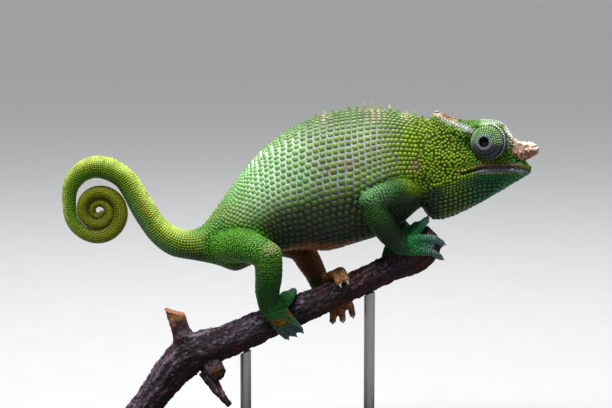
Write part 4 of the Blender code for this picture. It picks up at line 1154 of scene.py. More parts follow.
@dataclass
class Scales:
    """Many scales: where each is rooted, which way it lies, its size and its colours."""

    root: Array
    normal: Array
    along: Array
    half_along: Array
    half_across: Array
    rise: Array

    @staticmethod
    def joined(groups: list) -> "Scales":
        """Several lots of scales as one."""
        names = [part.name for part in fields(Scales)]
        return Scales(*(np.concatenate([getattr(group, name) for group in groups]) for name in names))

    def chosen(self, keep: Array) -> "Scales":
        """The scales that a mask or a list of numbers picks."""
        return Scales(*(getattr(self, part.name)[keep] for part in fields(self)))

    def domes(
        self, top: Array, edge: Array, unwrap: Array, seed: int, squareness: float, table: float = 0.78,
    ) -> tuple:
        """Every scale as a low closed dome on a rounded square of eight corners.

        A ring sunk under the skin, a smaller ring near the top and a middle point: across the scale the
        place is the half size times the power of the cosine or sine that makes the square.

        Args:
            top: Colours of the crowns.
            edge: Colours of the rims.
            unwrap: Where each root lies on the unwrap of the skin.
            seed: For the small differences between scales.
            squareness: The power: 1 is an oval, less is more square.
            table: The share of the size that the upper ring has: more makes a flatter scale.

        Returns:
            The form, its colours and its places on the unwrap.
        """
        draw = np.random.default_rng(seed)
        count = len(self.root)
        across = unit(np.cross(self.normal, self.along))
        along = np.cross(across, self.normal)
        angle = turns_of(SCALE_SIDES) + math.pi / SCALE_SIDES
        round_ring = np.column_stack((np.cos(angle), np.sin(angle)))
        ring = np.sign(round_ring) * np.abs(round_ring) ** squareness
        size = draw.uniform(0.97, 1.06, count)
        sink = -0.1 * (self.half_along + self.half_across)[:, None]
        lean = draw.normal(0.0, 0.1, count)
        levels = []
        for share, level in ((1.04, None), (table, 1.52 - table)):
            flat = ring[None] * share * size[:, None, None]
            u = flat[..., 0] * self.half_along[:, None]
            v = flat[..., 1] * self.half_across[:, None]
            tilt = 1 + lean[:, None] * flat[..., 0]
            rise = sink + 0 * u if level is None else level * self.rise[:, None] * tilt
            place = self.root[:, None] + u[..., None] * along[:, None] + v[..., None] * across[:, None]
            levels.append(place + rise[..., None] * self.normal[:, None])
        crown = self.root + self.normal * self.rise[:, None]
        points = np.concatenate((levels[0], levels[1], crown[:, None]), axis=1)
        corner = np.arange(SCALE_SIDES)
        following = (corner + 1) % SCALE_SIDES
        upper, next_upper, middle = corner + SCALE_SIDES, following + SCALE_SIDES, 2 * SCALE_SIDES
        base = np.arange(count)[:, None] * (middle + 1)
        walls = np.stack((corner, following, next_upper, upper), axis=-1)
        tops = np.stack((upper, next_upper, np.full(SCALE_SIDES, middle)), axis=-1)
        quads = (base[:, :, None] + walls[None]).reshape(-1, 4)
        triangles = (base[:, :, None] + tops[None]).reshape(-1, 3)
        bottoms = base + corner[::-1]
        vary = 1 + draw.normal(0.0, 0.12, (count, 1))
        crown_tint = np.clip(top * vary, 0, 1)
        shoulder = 0.3 * edge + 0.7 * crown_tint
        lower_tint, upper_tint = (
            np.repeat(colour[:, None], SCALE_SIDES, 1) for colour in (edge, shoulder)
        )
        tint = np.concatenate((lower_tint, upper_tint, crown_tint[:, None]), axis=1)
        patch = np.vstack((ring, ring * 0.66, (0.0, 0.0))) * HALF_PATCH
        uv = unwrap[:, None] + patch[None]
        form = Form(points.reshape(-1, 3), [quads, triangles, bottoms])
        return form, tint.reshape(-1, 3), uv.reshape(-1, 2)


@dataclass
class Skin:
    """The one skin over flesh: head, trunk, legs and tail."""

    body: Body
    head: Head
    legs: Legs
    markings: Markings
    depth: float = 0.28
    voxel: float = 0.6
    join: float = 104.0
    overlap: float = 8.0
    coil_grow: float = 0.28
    mouth_cut: float = 0.75
    nostril_cut: float = 1.1
    lid_ridge: float = 0.35
    lid_groove: float = 0.5
    fold_height: float = 0.07
    form: Form = field(init=False)
    normals: Array = field(init=False)

    def build(self) -> None:
        """Fuses head, trunk and legs, adds the tail from inside the fused part, and carves the face."""
        turns = turns_of(72)
        lengths = np.arange(-8.0, self.join + self.overlap, 0.8)
        shrink = -self.depth - 1.2 * ramp(lengths, self.join, self.join + self.overlap)
        trunk = lofted(self.body.rings(lengths, turns, shrink))
        head = lofted(self.head.rings(84, 90, -self.depth))
        fused = Piece.fused(Form.joined([trunk, head, *self.legs.forms(-self.depth)]), self.voxel, 4)
        fused = Form(self._carved(fused), fused.faces)
        turns = turns_of(44)
        lengths = np.arange(self.join - self.overlap, self.body.length[-1], 0.7)
        sunk = -self.depth - 0.8 * fall(lengths, self.join - self.overlap, self.join)
        thin = (self.depth + self.coil_grow) * ramp(lengths, 186, 198)
        tail = lofted(self.body.rings(lengths, turns, sunk + thin))
        self.form = Form.joined([fused, tail])
        self.normals = normals_of(self.form)

    def _carved(self, form: Form) -> Array:
        """Moves points along their normals: in for the mouth line, nostrils and eye rings, out for folds."""
        points, normal = form.points, normals_of(form)
        x, y, z = points.T
        above = z - self.head.at(x, "mouth_z")
        ahead = ramp(x, 62.4, 64.5) * ramp(np.hypot(y, np.maximum(0, x - 88)), 1, 2)
        cut = self.mouth_cut - 0.45 * ramp(x, 70, 77)
        move = -cut * np.clip(1 - (above / 0.6) ** 2, 0, 1) * ahead
        for side in (-1, 1):
            _, ring = self.head.about_eye(points, side)
            near = ramp(y * side, 1, 3)
            ridge, groove = bump(ring, 8.5, 0.8), bump(ring, 7.4, 0.5)
            move += (self.lid_ridge * ridge - self.lid_groove * groove) * near
            move -= self.nostril_cut * fall(self.head.from_nostril(points), 0.3, 0.95) * near
        off_leg, down, _ = self.legs.nearest(points)
        folds = np.sin(down * 4 * 2 * math.pi * 9) * ramp(down, 0.2, 0.3) * fall(down, 0.7, 0.8)
        move += self.fold_height * folds * fall(off_leg, 0.3, 1.5)
        move += 0.06 * grain(points, 1.6, 5) + 0.1 * grain(points, 6, 6)
        return points + normal * move[:, None]

    def show(self, material: Material) -> None:
        """Puts the skin in the scene in place of the nodes of flesh."""
        _, tint = self.markings.of(self.form.points)
        obj = Piece.shown("skin", self.form, tint, material, "skin")
        flesh = [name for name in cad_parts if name.startswith(("foreleg", "hindleg", "tail"))]
        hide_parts("neck", "torso", "skull", "lower_jaw", *flesh)


@dataclass
class Coat:
    """The raised scales over the skin, in rows on the body and crowded elsewhere."""

    skin: Skin
    widest: float = 2.66
    narrowest: float = 1.6
    first_row: float = 0.55
    last_row: float = 96.0
    leg_pitch: float = 0.92
    toe_pitch: float = 0.8
    draws: int = 280000
    crowd_gap: float = 0.9
    row_gap: float = 0.88
    limb_gap: float = 0.72
    off_legs: float = 0.8
    neck_x: float = 46.5
    head_x: float = 45.5
    tree: BVHTree = field(init=False)
    corners: Array = field(init=False)
    scales: Scales = field(init=False)
    region: Array = field(init=False)

    def _settled(self, points: Array, along: Array, limit: float) -> tuple:
        """Drops places onto the skin.

        Args:
            points: Places near the skin.
            along: Directions there.
            limit: Places farther from the skin than this are left out.

        Returns:
            A mask of what stays, and the places, normals and directions of what stays.
        """
        hits = [self.tree.find_nearest(Vector(point)) for point in points.tolist()]
        place = np.array([tuple(hit[0]) for hit in hits])
        face = np.array([hit[2] for hit in hits])
        corners = self.corners[face]
        near = ((self.skin.form.points[corners] - place[:, None]) ** 2).sum(axis=-1)
        weight = 1 / (near + 0.02)
        normal = unit((self.skin.normals[corners] * weight[..., None]).sum(axis=1))
        stays = np.linalg.norm(place - points, axis=1) < limit
        return stays, place[stays], normal[stays], along[stays]

    def rows(self) -> Scales:
        """Rows of scales that follow the ridge of the back, from the neck to the tip of the tail.

        On each side of the ridge a row keeps its own distance down the section, times a factor that draws
        the rows together toward the tail. On the trunk the scales of all rows stand in shared columns
        across the body; behind it each row counts its own.
        """
        body, draw = self.skin.body, np.random.default_rng(11)
        lengths = np.arange(-3.0, body.length[-1] - 0.4, 0.5)
        sheet = body.rings(lengths, np.linspace(0, math.pi, 161), -self.skin.depth)
        steps = np.cumsum(np.linalg.norm(np.diff(sheet, axis=1), axis=2), axis=1)
        drop = np.concatenate((np.zeros((len(lengths), 1)), steps), axis=1)
        factor = np.interp(lengths, *ROWS_DRAWN)
        shared = np.interp(lengths, *COLUMN_STEPS)
        own = ramp(lengths, 66, 84)
        marks = [self.first_row]
        while marks[-1] < self.last_row:
            gap = self.narrowest + (self.widest - self.narrowest) * float(ramp(marks[-1], 2.5, 15))
            marks.append(marks[-1] + gap - 0.55 * float(ramp(marks[-1], 50, 60)))
        made = []
        for number, (mark, after) in enumerate(zip(marks[:-1], marks[1:])):
            gap = (after - mark) * factor
            line = np.vstack([read(*row) for row in zip(sheet, drop, (mark * factor)[:, None])])
            inside = mark * factor < drop[:, -1] - 0.3 * gap
            run = summed(np.linalg.norm(np.diff(line, axis=0), axis=1))
            rate = (1 - own) * 0.5 / shared + own * np.gradient(run) / (gap * 1.04)
            count = np.cumsum(rate)
            way = headed(line)
            for side in (-1, 1):
                spots = np.arange(0.5, count[-1], 1.0)
                fore = ramp(np.interp(spots, count, line[:, 0]), 26, 42)
                spots = spots + 0.5 * (number % 2) * fore
                spots = spots + draw.normal(0, 0.04, len(spots)) * (1 + 1.5 * fore)
                sheet_place = np.column_stack((spots, 0 * spots + mark / 2.2, 0 * spots + side))
                spots = spots + 0.4 * grain(sheet_place, 4.3, 41) + 0.12 * grain(sheet_place, 1.7, 42)
                spots = spots[np.interp(spots, count, inside.astype(float)) > 0.5]
                if len(spots):
                    made.append(self._row(spots, count, line, way, np.gradient(run) / rate, gap, side))
        rows = Scales.joined(made)
        off, _, _ = self.skin.legs.nearest(rows.root)
        edge = rows.root[:, 0] + 1.5 * grain(rows.root, 5, 43)
        outside = (off > 0.9) & ~((edge > self.neck_x) & (rows.root[:, 2] > 93))
        return rows.chosen(outside)

    def _row(
        self, spots: Array, count: Array, line: Array, way: Array, reach: Array, gap: Array, side: int,
    ) -> Scales:
        """One row of the body's scales on one side.

        Args:
            spots: Where its scales sit, counted in scales.
            count: The count along the row's line.
            line: Places along the line on the left side.
            way: Directions along it.
            reach: Length of a scale along it.
            gap: Distance to the next row along it.
            side: -1 on the right and 1 on the left.

        Returns:
            The scales.
        """
        mirror = np.array((1.0, -side, 1.0))
        place, lie = (read(rows, count, spots) * mirror for rows in (line, way))
        stays, place, normal, lie = self._settled(place, lie, 0.75)
        wide = np.interp(spots, count, gap)[stays]
        stretch = np.clip(np.gradient(spots), 0.7, 1.4) if len(spots) > 1 else np.ones(1)
        long = np.minimum((np.interp(spots, count, reach) * stretch)[stays], 1.5 * wide)
        length, height, _ = self.skin.body.place(place)
        share = 0.5 - 0.03 * self.skin.markings.open(place, length, height)
        rise = wide * (0.2 - 0.05 * ramp(wide, 1.5, 2.2))
        return Scales(place, normal, unit(lie), long * (share - 0.025), wide * share * 0.95, rise)

    def limbs(self) -> Scales:
        """Rings of small scales round every limb and toe, one ring a pitch behind the other."""
        legs, made, draw = self.skin.legs, [], np.random.default_rng(17)
        for _, route, down, _ in legs.routes():
            pitch = self.leg_pitch if down[0] < 0.5 else self.toe_pitch
            run = np.linalg.norm(np.diff(evenly(route, 40)[:, :3], axis=0), axis=1).sum()
            line = evenly(route, max(3, int(run / pitch)))
            way = headed(line[:, :3])
            for number, (row, ahead, side) in enumerate(zip(line, way, legs.square_to(way))):
                around = int(2 * math.pi * row[3] / (pitch * 1.06))
                angle = np.arange(around) + 0.5 * (number % 2) + draw.normal(0, 0.14, around)
                out = circle(angle * 2 * math.pi / around, side, np.cross(ahead, side))
                slip = ahead * (pitch * draw.normal(0, 0.16, around))[:, None]
                made.append((row[:3] + out * row[3] + slip, 0 * out + ahead, np.full(around, pitch)))
        places, ways, pitches = (np.concatenate([group[index] for group in made]) for index in range(3))
        stays, place, normal, lie = self._settled(places, ways, 0.6)
        pitch = pitches[stays]
        free = self._bare(place)
        tree = near_tree(place)
        for index in range(len(place)):
            if free[index]:
                for _, other, _ in tree.find_range(place[index], pitch[index] * self.limb_gap):
                    free[other] = other == index
        lie = unit(lie - (lie * normal).sum(axis=1, keepdims=True) * normal)
        return Scales(place, normal, lie, pitch * 0.47, pitch * 0.5, pitch * 0.19).chosen(free)

    def line(self, places: Array, pitch: float, half: tuple, rise: float, seed: int) -> Scales:
        """A single row of scales along a path on the skin.

        Args:
            places: The path.
            pitch: From scale to scale.
            half: Half sizes along and across.
            rise: Height of the crowns.
            seed: For small differences.

        Returns:
            The scales.
        """
        draw = np.random.default_rng(seed)
        run = np.linalg.norm(np.diff(places, axis=0), axis=1).sum()
        spots = evenly(places, max(3, int(run / pitch)))
        way = headed(spots)
        _, place, normal, way = self._settled(spots, way, 3.0)
        count = len(place)
        vary = draw.uniform(0.85, 1.15, count)
        rise = rise * draw.uniform(0.75, 1.2, count)
        return Scales(place, normal, way, half[0] * vary, half[1] * vary, rise)

    def face_rows(self) -> Scales:
        """The scales of both lips, the knobs of the side crests and the casque, and the throat's rows."""
        f = self.skin.head.lines(60)
        x, mouth = f["x"], f["mouth_z"]
        fore, casque = x > 63.0, (x > 56.0) & (x < 72.0)
        inner, outer = (
            [(1 - share) * f[f"roof_{axis}"] + share * f[f"crest_{axis}"] for axis in "yz"]
            for share in (0.16, 0.46)
        )
        # Each row of a side: y, z, the stretch it takes, pitch, half sizes, rise and seed
        edges = (
            (f["lip_y"] + 0.3, mouth + 1.15, fore, 1.3, (0.66, 0.55), 0.26, 21),
            (f["lip_y"] + 0.1, mouth - 1.15, fore, 1.05, (0.52, 0.62), 0.3, 24),
            (*inner, casque, 1.15, (0.85 * 0.8, 0.85 * 0.72), 0.42, 28),
            (*outer, casque, 1.15, (0.72 * 0.8, 0.72 * 0.72), 0.42, 31),
            (f["crest_y"], f["crest_z"], (x > 71) & (x < 85), 1.0, (0.55, 0.5), 0.28, 29),
            (f["jaw_y"], mouth - 1.95, (x > 70) & (x < 83), 0.95, (0.3, 0.36), 0.26, 31),
        )
        made = []
        for side in (-1, 1):
            for out, high, stretch, pitch, half, rise, seed in edges:
                path = np.column_stack((x, side * out, high))[stretch]
                made.append(self.line(path, pitch, half, rise, seed + side))
            made += self._throat(x, side)
        ridge = np.column_stack((x, 0 * x, f["ridge_z"]))[(x > 52.0) & (x < 66)]
        made.append(self.line(ridge, 1.2, (0.7, 0.75), 0.26, 33))
        return Scales.joined(made)

    def _throat(self, x: Array, side: int) -> list:
        """The rows of scales on one side of the throat, each its own distance below the cheek."""
        made = []
        rings = self.skin.head.rings(60, 120)[:60, 75:] * (1, -side, 1)
        steps = np.linalg.norm(np.diff(rings, axis=1), axis=2)
        run = np.concatenate((np.zeros((60, 1)), np.cumsum(steps, axis=1)), axis=1)
        for below in np.concatenate((np.arange(2.9, 7.0, 1.2), np.arange(7.9, 24.0, 1.85))):
            reach = (run[:, -1] > below - 0.2) & (x > 54)
            if reach.sum() > 6:
                path = np.vstack([read(*row, [below]) for row in zip(rings[reach], run[reach])])
                size = 1.0 if below < 7.5 else 1.36
                half = (0.64 * size, 0.5 * size)
                made.append(self.line(path, 1.4 * size, half, 0.26 * size, 40 + int(4 * below) + side))
        return made

    def pitch(self, points: Array) -> Array:
        """How far apart the crowded scales stand at places on the skin."""
        off, down, _ = self.skin.legs.nearest(points)
        limb = fall(off, 0.3, 1.5)
        x, z = points[:, 0], points[:, 2]
        on_head = ramp(x, 50, 55) * ramp(z, 90, 93)
        above = z - self.skin.head.at(x, "mouth_z")
        head = 1.24 - 0.35 * ramp(z, 126, 131) - 0.2 * ramp(x, 78, 84)
        head = head - 0.34 * bump(x, 66.5, 3) * bump(z, 118, 5)
        head = head - 0.45 * bump(above, 0.5, 3) * ramp(x, 62, 66)
        head = head - 0.35 * ramp(x, 62, 70) * bump(above, -3.6, 1.8)
        leg = self.leg_pitch - (self.leg_pitch - self.toe_pitch) * ramp(down, 0.5, 0.75)
        spread = (1.3 - 0.6 * ramp(-x, 44, 56)) * (1 - on_head) + head * on_head
        return spread * (1 - limb) + leg * limb

    def crowd(self, taken: Scales) -> Scales:
        """Scales strewn over what the rows leave bare, none closer to another than its pitch.

        Places are drawn evenly over the faces of the skin and taken in turn where nothing is near.
        """
        form, draw = self.skin.form, np.random.default_rng(7)
        quads = form.faces[0]
        a, b, c = (form.points[quads[:, index]] for index in range(3))
        area = np.linalg.norm(np.cross(b - a, c - a), axis=1)
        chance = np.cumsum(area / area.sum())
        picks = np.searchsorted(chance, draw.random(self.draws))
        u, v = draw.random((2, len(picks), 1))
        corner = [form.points[quads[picks, index]] for index in range(4)]
        normal = [self.skin.normals[quads[picks, index]] for index in range(4)]
        weights = ((1 - u) * (1 - v), u * (1 - v), u * v, (1 - u) * v)
        points = sum(place * weight for place, weight in zip(corner, weights))
        normals = unit(sum(way * weight for way, weight in zip(normal, weights)))
        pitch = self.pitch(points)
        tree = near_tree(points)
        free = np.ones(len(points), bool)
        for point, size in zip(taken.root.tolist(), (taken.half_along + taken.half_across).tolist()):
            for _, index, _ in tree.find_range(point, size * self.row_gap):
                free[index] = False
        free &= self._bare(points)
        chosen = []
        for index in range(len(points)):
            if free[index]:
                chosen.append(index)
                for _, other, _ in tree.find_range(points[index], pitch[index] * self.crowd_gap):
                    free[other] = False
        chosen = np.array(chosen)
        lie = unit(np.cross(normals[chosen], draw.normal(size=(len(chosen), 3))))
        size = pitch[chosen]
        return Scales(points[chosen], normals[chosen], lie, size * 0.55, size * 0.52, size * 0.22)

    def _bare(self, points: Array) -> Array:
        """True where scales may grow: not in the mouth line, the nostrils or under the turrets."""
        head = self.skin.head
        x, y, z = points.T
        ok = ~((np.abs(z - head.at(x, "mouth_z")) < 0.45) & (x > 63.4) & (z > 100))
        ok &= ~((head.from_nostril(points) < 1.1) & (z > 100))
        for side in (-1, 1):
            _, ring = head.about_eye(points, side)
            ok &= ~((ring < 7.0) & (y * side > 2.0) & (z > 100))
        return ok

    def unwrap(self, points: Array, region: Array) -> Array:
        """Where places on the skin lie on its unwrap.

        The body is a strip by length and angle, the head one by its own length and angle, and the legs
        are strips by how far down and round they are.
        """
        along, angle = self.skin.body.strip(points)
        x, y, z = points.T
        body = np.column_stack((0.01 + 0.98 * along, 0.02 + 0.5 * (angle / (2 * math.pi) + 0.5)))
        head_turn = np.arctan2(y, z - 116.0) / (2 * math.pi) + 0.5
        head = np.column_stack((0.01 + 0.46 * (x - 44) / 50, 0.56 + 0.42 * head_turn))
        legs = np.array((0.51, 0.56)) + np.array((0.48, 0.42)) * self.skin.legs.strips(points)
        place = np.where((region == Region.HEAD.value)[:, None], head, body)
        place = np.where((region >= Region.RIGHT_LEGS.value)[:, None], legs, place)
        return np.clip(place, 0.004, 0.996)

    def build(self) -> None:
        """Works out every scale and sorts them by region."""
        form = self.skin.form
        widest = max(group.shape[1] for group in form.faces)
        polygons = [tuple(row) for group in form.faces for row in group.tolist()]
        padded = [
            np.column_stack((group, np.repeat(group[:, -1:], widest - group.shape[1], 1)))
            for group in form.faces
        ]
        self.corners = np.vstack(padded)
        self.tree = BVHTree.FromPolygons(form.points.tolist(), polygons)
        placed = Scales.joined([self.rows(), self.face_rows(), self.limbs()])
        scales = Scales.joined([placed, self.crowd(placed)])
        off, _, _ = self.skin.legs.nearest(scales.root)
        length, _, _ = self.skin.body.place(scales.root)
        x, y, z = scales.root.T
        region = np.full(len(scales.root), Region.TRUNK.value)
        region[length > 100] = Region.TAIL.value
        region[length > 165] = Region.COIL.value
        region[(x > self.head_x) & (z > 91)] = Region.HEAD.value
        region[(off < self.off_legs) & (y < 0)] = Region.RIGHT_LEGS.value
        region[(off < self.off_legs) & (y >= 0)] = Region.LEFT_LEGS.value
        self.scales, self.region = scales, region

    def show(self, material: Material) -> None:
        """Puts one piece of scales for each region in the scene."""
        top, between = self.skin.markings.of(self.scales.root)
        place = self.unwrap(self.scales.root, self.region)
        for region in Region:
            mask = self.region == region.value
            scales = self.scales.chosen(mask)
            share = 0.58 if region is Region.TRUNK else 0.7
            edge = share * top[mask] + (1 - share) * between[mask]
            square, table = (0.48, 0.8) if region is Region.TRUNK else (0.8, 0.78)
            form, tint, uv = scales.domes(top[mask], edge, place[mask], 50 + region.value, square, table)
            name = f"scales_{region.name.lower()}"
            Piece.shown(name, form, tint, material, "skin", uv)


@dataclass
class Crest:
    """The spines of the back and the small points behind them."""

    skin: Skin
    spine_height: float = 2.6
    spine_width: float = 0.78
    spine_spacing: float = 3.2
    first_spine: float = 2.0
    last_spine: float = 46.8
    point_height: float = 0.55
    point_width: float = 0.45
    point_spacing: float = 1.4
    last_point: float = 150.0

    def show(self, material: Material) -> None:
        """Puts the spines in the scene: cones that lean back and bend a little."""
        draw = np.random.default_rng(3)
        forms, roots = [], []
        place = self.first_spine
        while place < self.last_point:
            ring = self.skin.body.rings(np.array([place]), np.array([0.0, math.pi]))[0]
            up = unit(ring[0] - ring[1])
            back = np.array((-up[2], 0.0, up[0]))
            tall = place < self.last_spine
            wave = 0.62 + 0.38 * math.sin(math.pi * min(1.0, (place + 6) / self.last_spine))
            height = self.spine_height * wave if tall else self.point_height
            width = self.spine_width if tall else self.point_width
            height *= draw.uniform(0.75, 1.12)
            sway = np.array((0.0, draw.normal(0, 0.12), 0.0))
            top = ring[0] - up * 0.3
            route = (
                (*(top - up * 0.8), width * 1.3),
                (*(top + up * height * 0.35 + back * 0.1 * height), width * 0.7),
                (*(top + up * height * 0.72 + (back * 0.22 + sway) * height), width * 0.36),
                (*(top + up * height + (back * 0.32 + sway) * height), 0.12),
            )
            forms.append(tube(route, 8, 7))
            roots.append(ring[0])
            place += self.spine_spacing if tall else self.point_spacing * draw.uniform(0.7, 1.4)
        form = Form.joined(forms)
        top, _ = self.skin.markings.of(np.array(roots))
        count = [len(part.points) for part in forms]
        root, tint = (np.repeat(rows, count, 0) for rows in (np.array(roots), top))
        off = form.points - root
        tint = mixed(tint, Tone.PALE_LIME, ramp(np.linalg.norm(off, axis=1), 0.6, 2.4) * 0.6)
        along, _ = self.skin.body.strip(root)
        uv = np.column_stack((0.01 + 0.98 * along, np.full(len(root), 0.27))) + off[:, [0, 2]] * 0.0005
        Piece.shown("crest_spines", form, tint, material, "skin", uv)


@dataclass
class Eye:
    """One turret of grown lids with the eyeball in its small opening."""

    head: Head
    side: int
    profile: tuple = (
        (0, -2.6), (6.4, -2.6), (6.8, -0.4), (6.95, 0.7), (7, 1.6), (6.92, 2.2), (6.72, 2.5), (6.5, 2.25),
        (6.34, 2.4), (6.2, 3.05), (5.92, 3.95), (5.45, 4.8), (4.8, 5.6), (4.15, 6.2), (3.5, 6.65),
        (2.95, 6.95), (2.4, 7.12), (2.02, 7.1), (1.78, 6.8), (1.82, 6.3), (2.3, 5.8), (2.2, 5), (0, 4.8),
    )
    granule: float = 0.96
    ball_radius: float = 2.15
    ball_height: float = 5.6
    ball_depth: float = 1.15

    @property
    def word(self) -> str:
        """The side as a word."""
        return word_of(self.side)

    def colours(self, points: Array) -> tuple:
        """Green above, grey with dark folds of painted shade below, a pale upper rim, a painted black shadow
        in the groove round it and a grey-blue ring at the opening.
        """
        flat, ring = self.head.about_eye(points, self.side)
        up = flat[:, 2] / np.maximum(ring, 0.1)
        folds = bump(np.sin(ring * 4.6 + 0.6), -1, 0.5) * ramp(-up, 0, 0.5) * ramp(ring, 3, 3.6)
        coat = layered(
            Tone.LID,
            (Tone.SAGE, ramp(up, 0, 0.8) * ramp(ring, 2.8, 4.6) * 0.8),
            (Tone.LID_LOW, ramp(-up, -0.1, 0.5) * 0.85),
            (Tone.LID_RIM, ramp(ring, 6.5, 6.7) * (0.8 + 0.2 * up)),
            (Tone.PALE, ramp(up, 0.1, 0.7) * ramp(ring, 6.55, 6.8) * 0.8),
            # Painted shadow in the groove round the turret's rim.
            (Tone.BLACK, bump(ring, 6.46, 0.16) * 0.95),
            (Tone.LID_RIM, fall(ring, 2.5, 3.5) * (0.7 + 0.25 * grain(points, 1.4, 8))),
            (Tone.BLACK, fall(ring, 1.8, 1.98)),
            # Painted shade in the folds of the lower lid.
            (Tone.LID_DARK, folds * 0.75),
        )
        coat = coat * (1 + 0.16 * grain(points, 1, 9))[:, None]
        return coat, coat * 0.12

    def show(self, lid: Material, scale: Material, ball: Material) -> None:
        """Puts the turret, its granules and the eyeball in the scene."""
        centre, axis = self.head.eye(self.side)
        rows = dense(self.profile, 100)
        rows[[0, -1], 0] = 0.0
        form = turned(rows, centre, axis, 96)
        coat, between = self.colours(form.points)
        obj = Piece.shown(f"turret_{self.word}", form, 0.12 * coat + 0.88 * between, lid, "lid")
        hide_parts(f"eye_turret_{self.word}")
        self._granules(rows, centre, axis, scale)
        rise = np.linspace(-math.pi / 2, math.pi / 2, 28)
        high = self.ball_height + self.ball_depth * np.sin(rise)
        lens = np.column_stack((self.ball_radius * np.cos(rise), high))
        lens[[0, -1], 0] = 0.0
        form = turned(lens, centre, axis, 48)
        obj = Piece.shown(f"eye_{self.word}", form, Tone.BLACK.over(form.points), ball, "eye")
        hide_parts(f"eyeball_{self.word}")

    def _granules(self, rows: Array, centre: Array, axis: Array, material: Material) -> None:
        """Rings of small scales on the turret, from its foot to the edge of the opening."""
        run = summed(np.linalg.norm(np.diff(rows, axis=0), axis=1))
        foot = np.interp(1.2, rows[:60, 1], run[:60])
        edge = run[np.argmax(rows[:, 1])] - 0.1
        side = unit(np.cross(axis, (0.0, 0.0, 1.0)))
        other = np.cross(axis, side)
        made, place, number = [], foot, 0
        while place < edge:
            ring, high = read(rows, run, [place])[0]
            slope = (read(rows, run, [place + 0.1]) - read(rows, run, [place - 0.1]))[0]
            slope = slope / max(np.hypot(*slope), 1e-6)
            size = self.granule * (0.6 + 0.4 * ramp(ring, 2.5, 5))
            count = max(8, int(2 * math.pi * ring / size))
            angle = (np.arange(count) + 0.5 * (number % 2)) * 2 * math.pi / count
            out = circle(angle, side, other)
            round_way = np.outer(-np.sin(angle), side) + np.outer(np.cos(angle), other)
            normal = out * slope[1] - axis * slope[0]
            root = centre + axis * high + out * ring
            full = np.full(count, float(size))
            made.append(Scales(root, normal, round_way, full * 0.43, full * 0.43, full * 0.38))
            place += size * 0.93
            number += 1
        scales = Scales.joined(made)
        top, between = self.colours(scales.root)
        off = scales.root - centre
        turn = np.arctan2(off @ side, off @ other)
        _, ring = self.head.about_eye(scales.root, self.side)
        unwrap = 0.5 + np.column_stack((np.cos(turn), np.sin(turn))) * (ring / 16)[:, None]
        form, tint, uv = scales.domes(top * 1.9, 0.15 * top + 0.85 * between, unwrap, 60 + self.side, 0.9)
        Piece.shown(f"scales_turret_{self.word}", form, tint, material, "lid", uv)


@dataclass
class Horn:
    """One short, flat, knobbly horn of the snout."""

    side: int
    knob: float = 0.8
    voxel: float = 0.26

    def show(self, material: Material) -> None:
        """Puts the horn in the scene: ovals carried along its line, with knobs fused on."""
        word = word_of(self.side)
        rows = dense(HORN, 40)
        tips = ((0.35, 0.0, 0.1, -0.5, -0.35), (0.5, 0.0, 0.14, -1.2, -0.75))
        rows = np.vstack((rows, rows[-1] + np.array(tips)))
        angle = turns_of(40)[None]
        x, y, z, high, wide = (column[:, None] for column in rows.T)
        high, wide = high - 0.15, wide - 0.1
        lift = high * np.sin(angle)
        rings = np.stack((x - 0.35 * lift, self.side * (y + wide * np.cos(angle)), z + lift), axis=-1)
        forms, spots = [lofted(rings)], []
        draw = np.random.default_rng(80 + self.side)
        for place in np.linspace(5, 40, 88):
            row = rows[int(place)]
            turn = draw.uniform(-0.5, math.pi + 0.9)
            spot = np.array((
                row[0] - 0.35 * row[3] * math.sin(turn), self.side * (row[1] - row[4] * math.cos(turn)),
                row[2] + row[3] * math.sin(turn),
            ))
            inward = unit(np.array((row[0], self.side * row[1], row[2])) - spot)
            size = self.knob * draw.uniform(0.42, 0.85)
            tip = spot - inward * size * 0.35
            forms.append(tube(((*(spot + inward * size * 0.6), size), (*tip, size * 0.8)), 12, 3))
            spots.append((*(tip - inward * size * 0.8), size))
        form = Piece.fused(Form.joined(forms), self.voxel, 1)
        spots = np.array(spots)
        away = np.linalg.norm(form.points[:, None] - spots[None, :, :3], axis=2) / spots[None, :, 3]
        # The horn darkens on its underside and between its knobs, partly its own brown and partly painted
        # shade; its knob crowns whiten toward the top as a painted highlight.
        high = ramp(form.points[:, 2], 119.5, 122.5)
        crown = fall(away.min(axis=1), 0.6, 1.35) * (0.3 + 0.7 * high)
        tint = layered(
            Tone.HORN,
            (Tone.HORN_DARK, (1 - crown) * (0.95 - 0.68 * high)),
            (Tone.HORN_LIGHT, crown * 0.95),
            (Tone.GREEN, fall(form.points[:, 0], 80.5, 84) * 0.5),
        )
        obj = Piece.shown(f"snout_horn_{word}", form, tint, material, "horn")
        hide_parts(f"horn_{word}")


@dataclass
class Claws:
    """The claws of all four feet."""

    legs: Legs

    def show(self, material: Material) -> None:
        """Puts the claws in the scene."""
        form = self.legs.claws()
        tint = Tone.CLAW.light * (1 + 0.2 * grain(form.points, 0.8, 14))[:, None]
        Piece.shown("claws", form, tint, material, "horn")


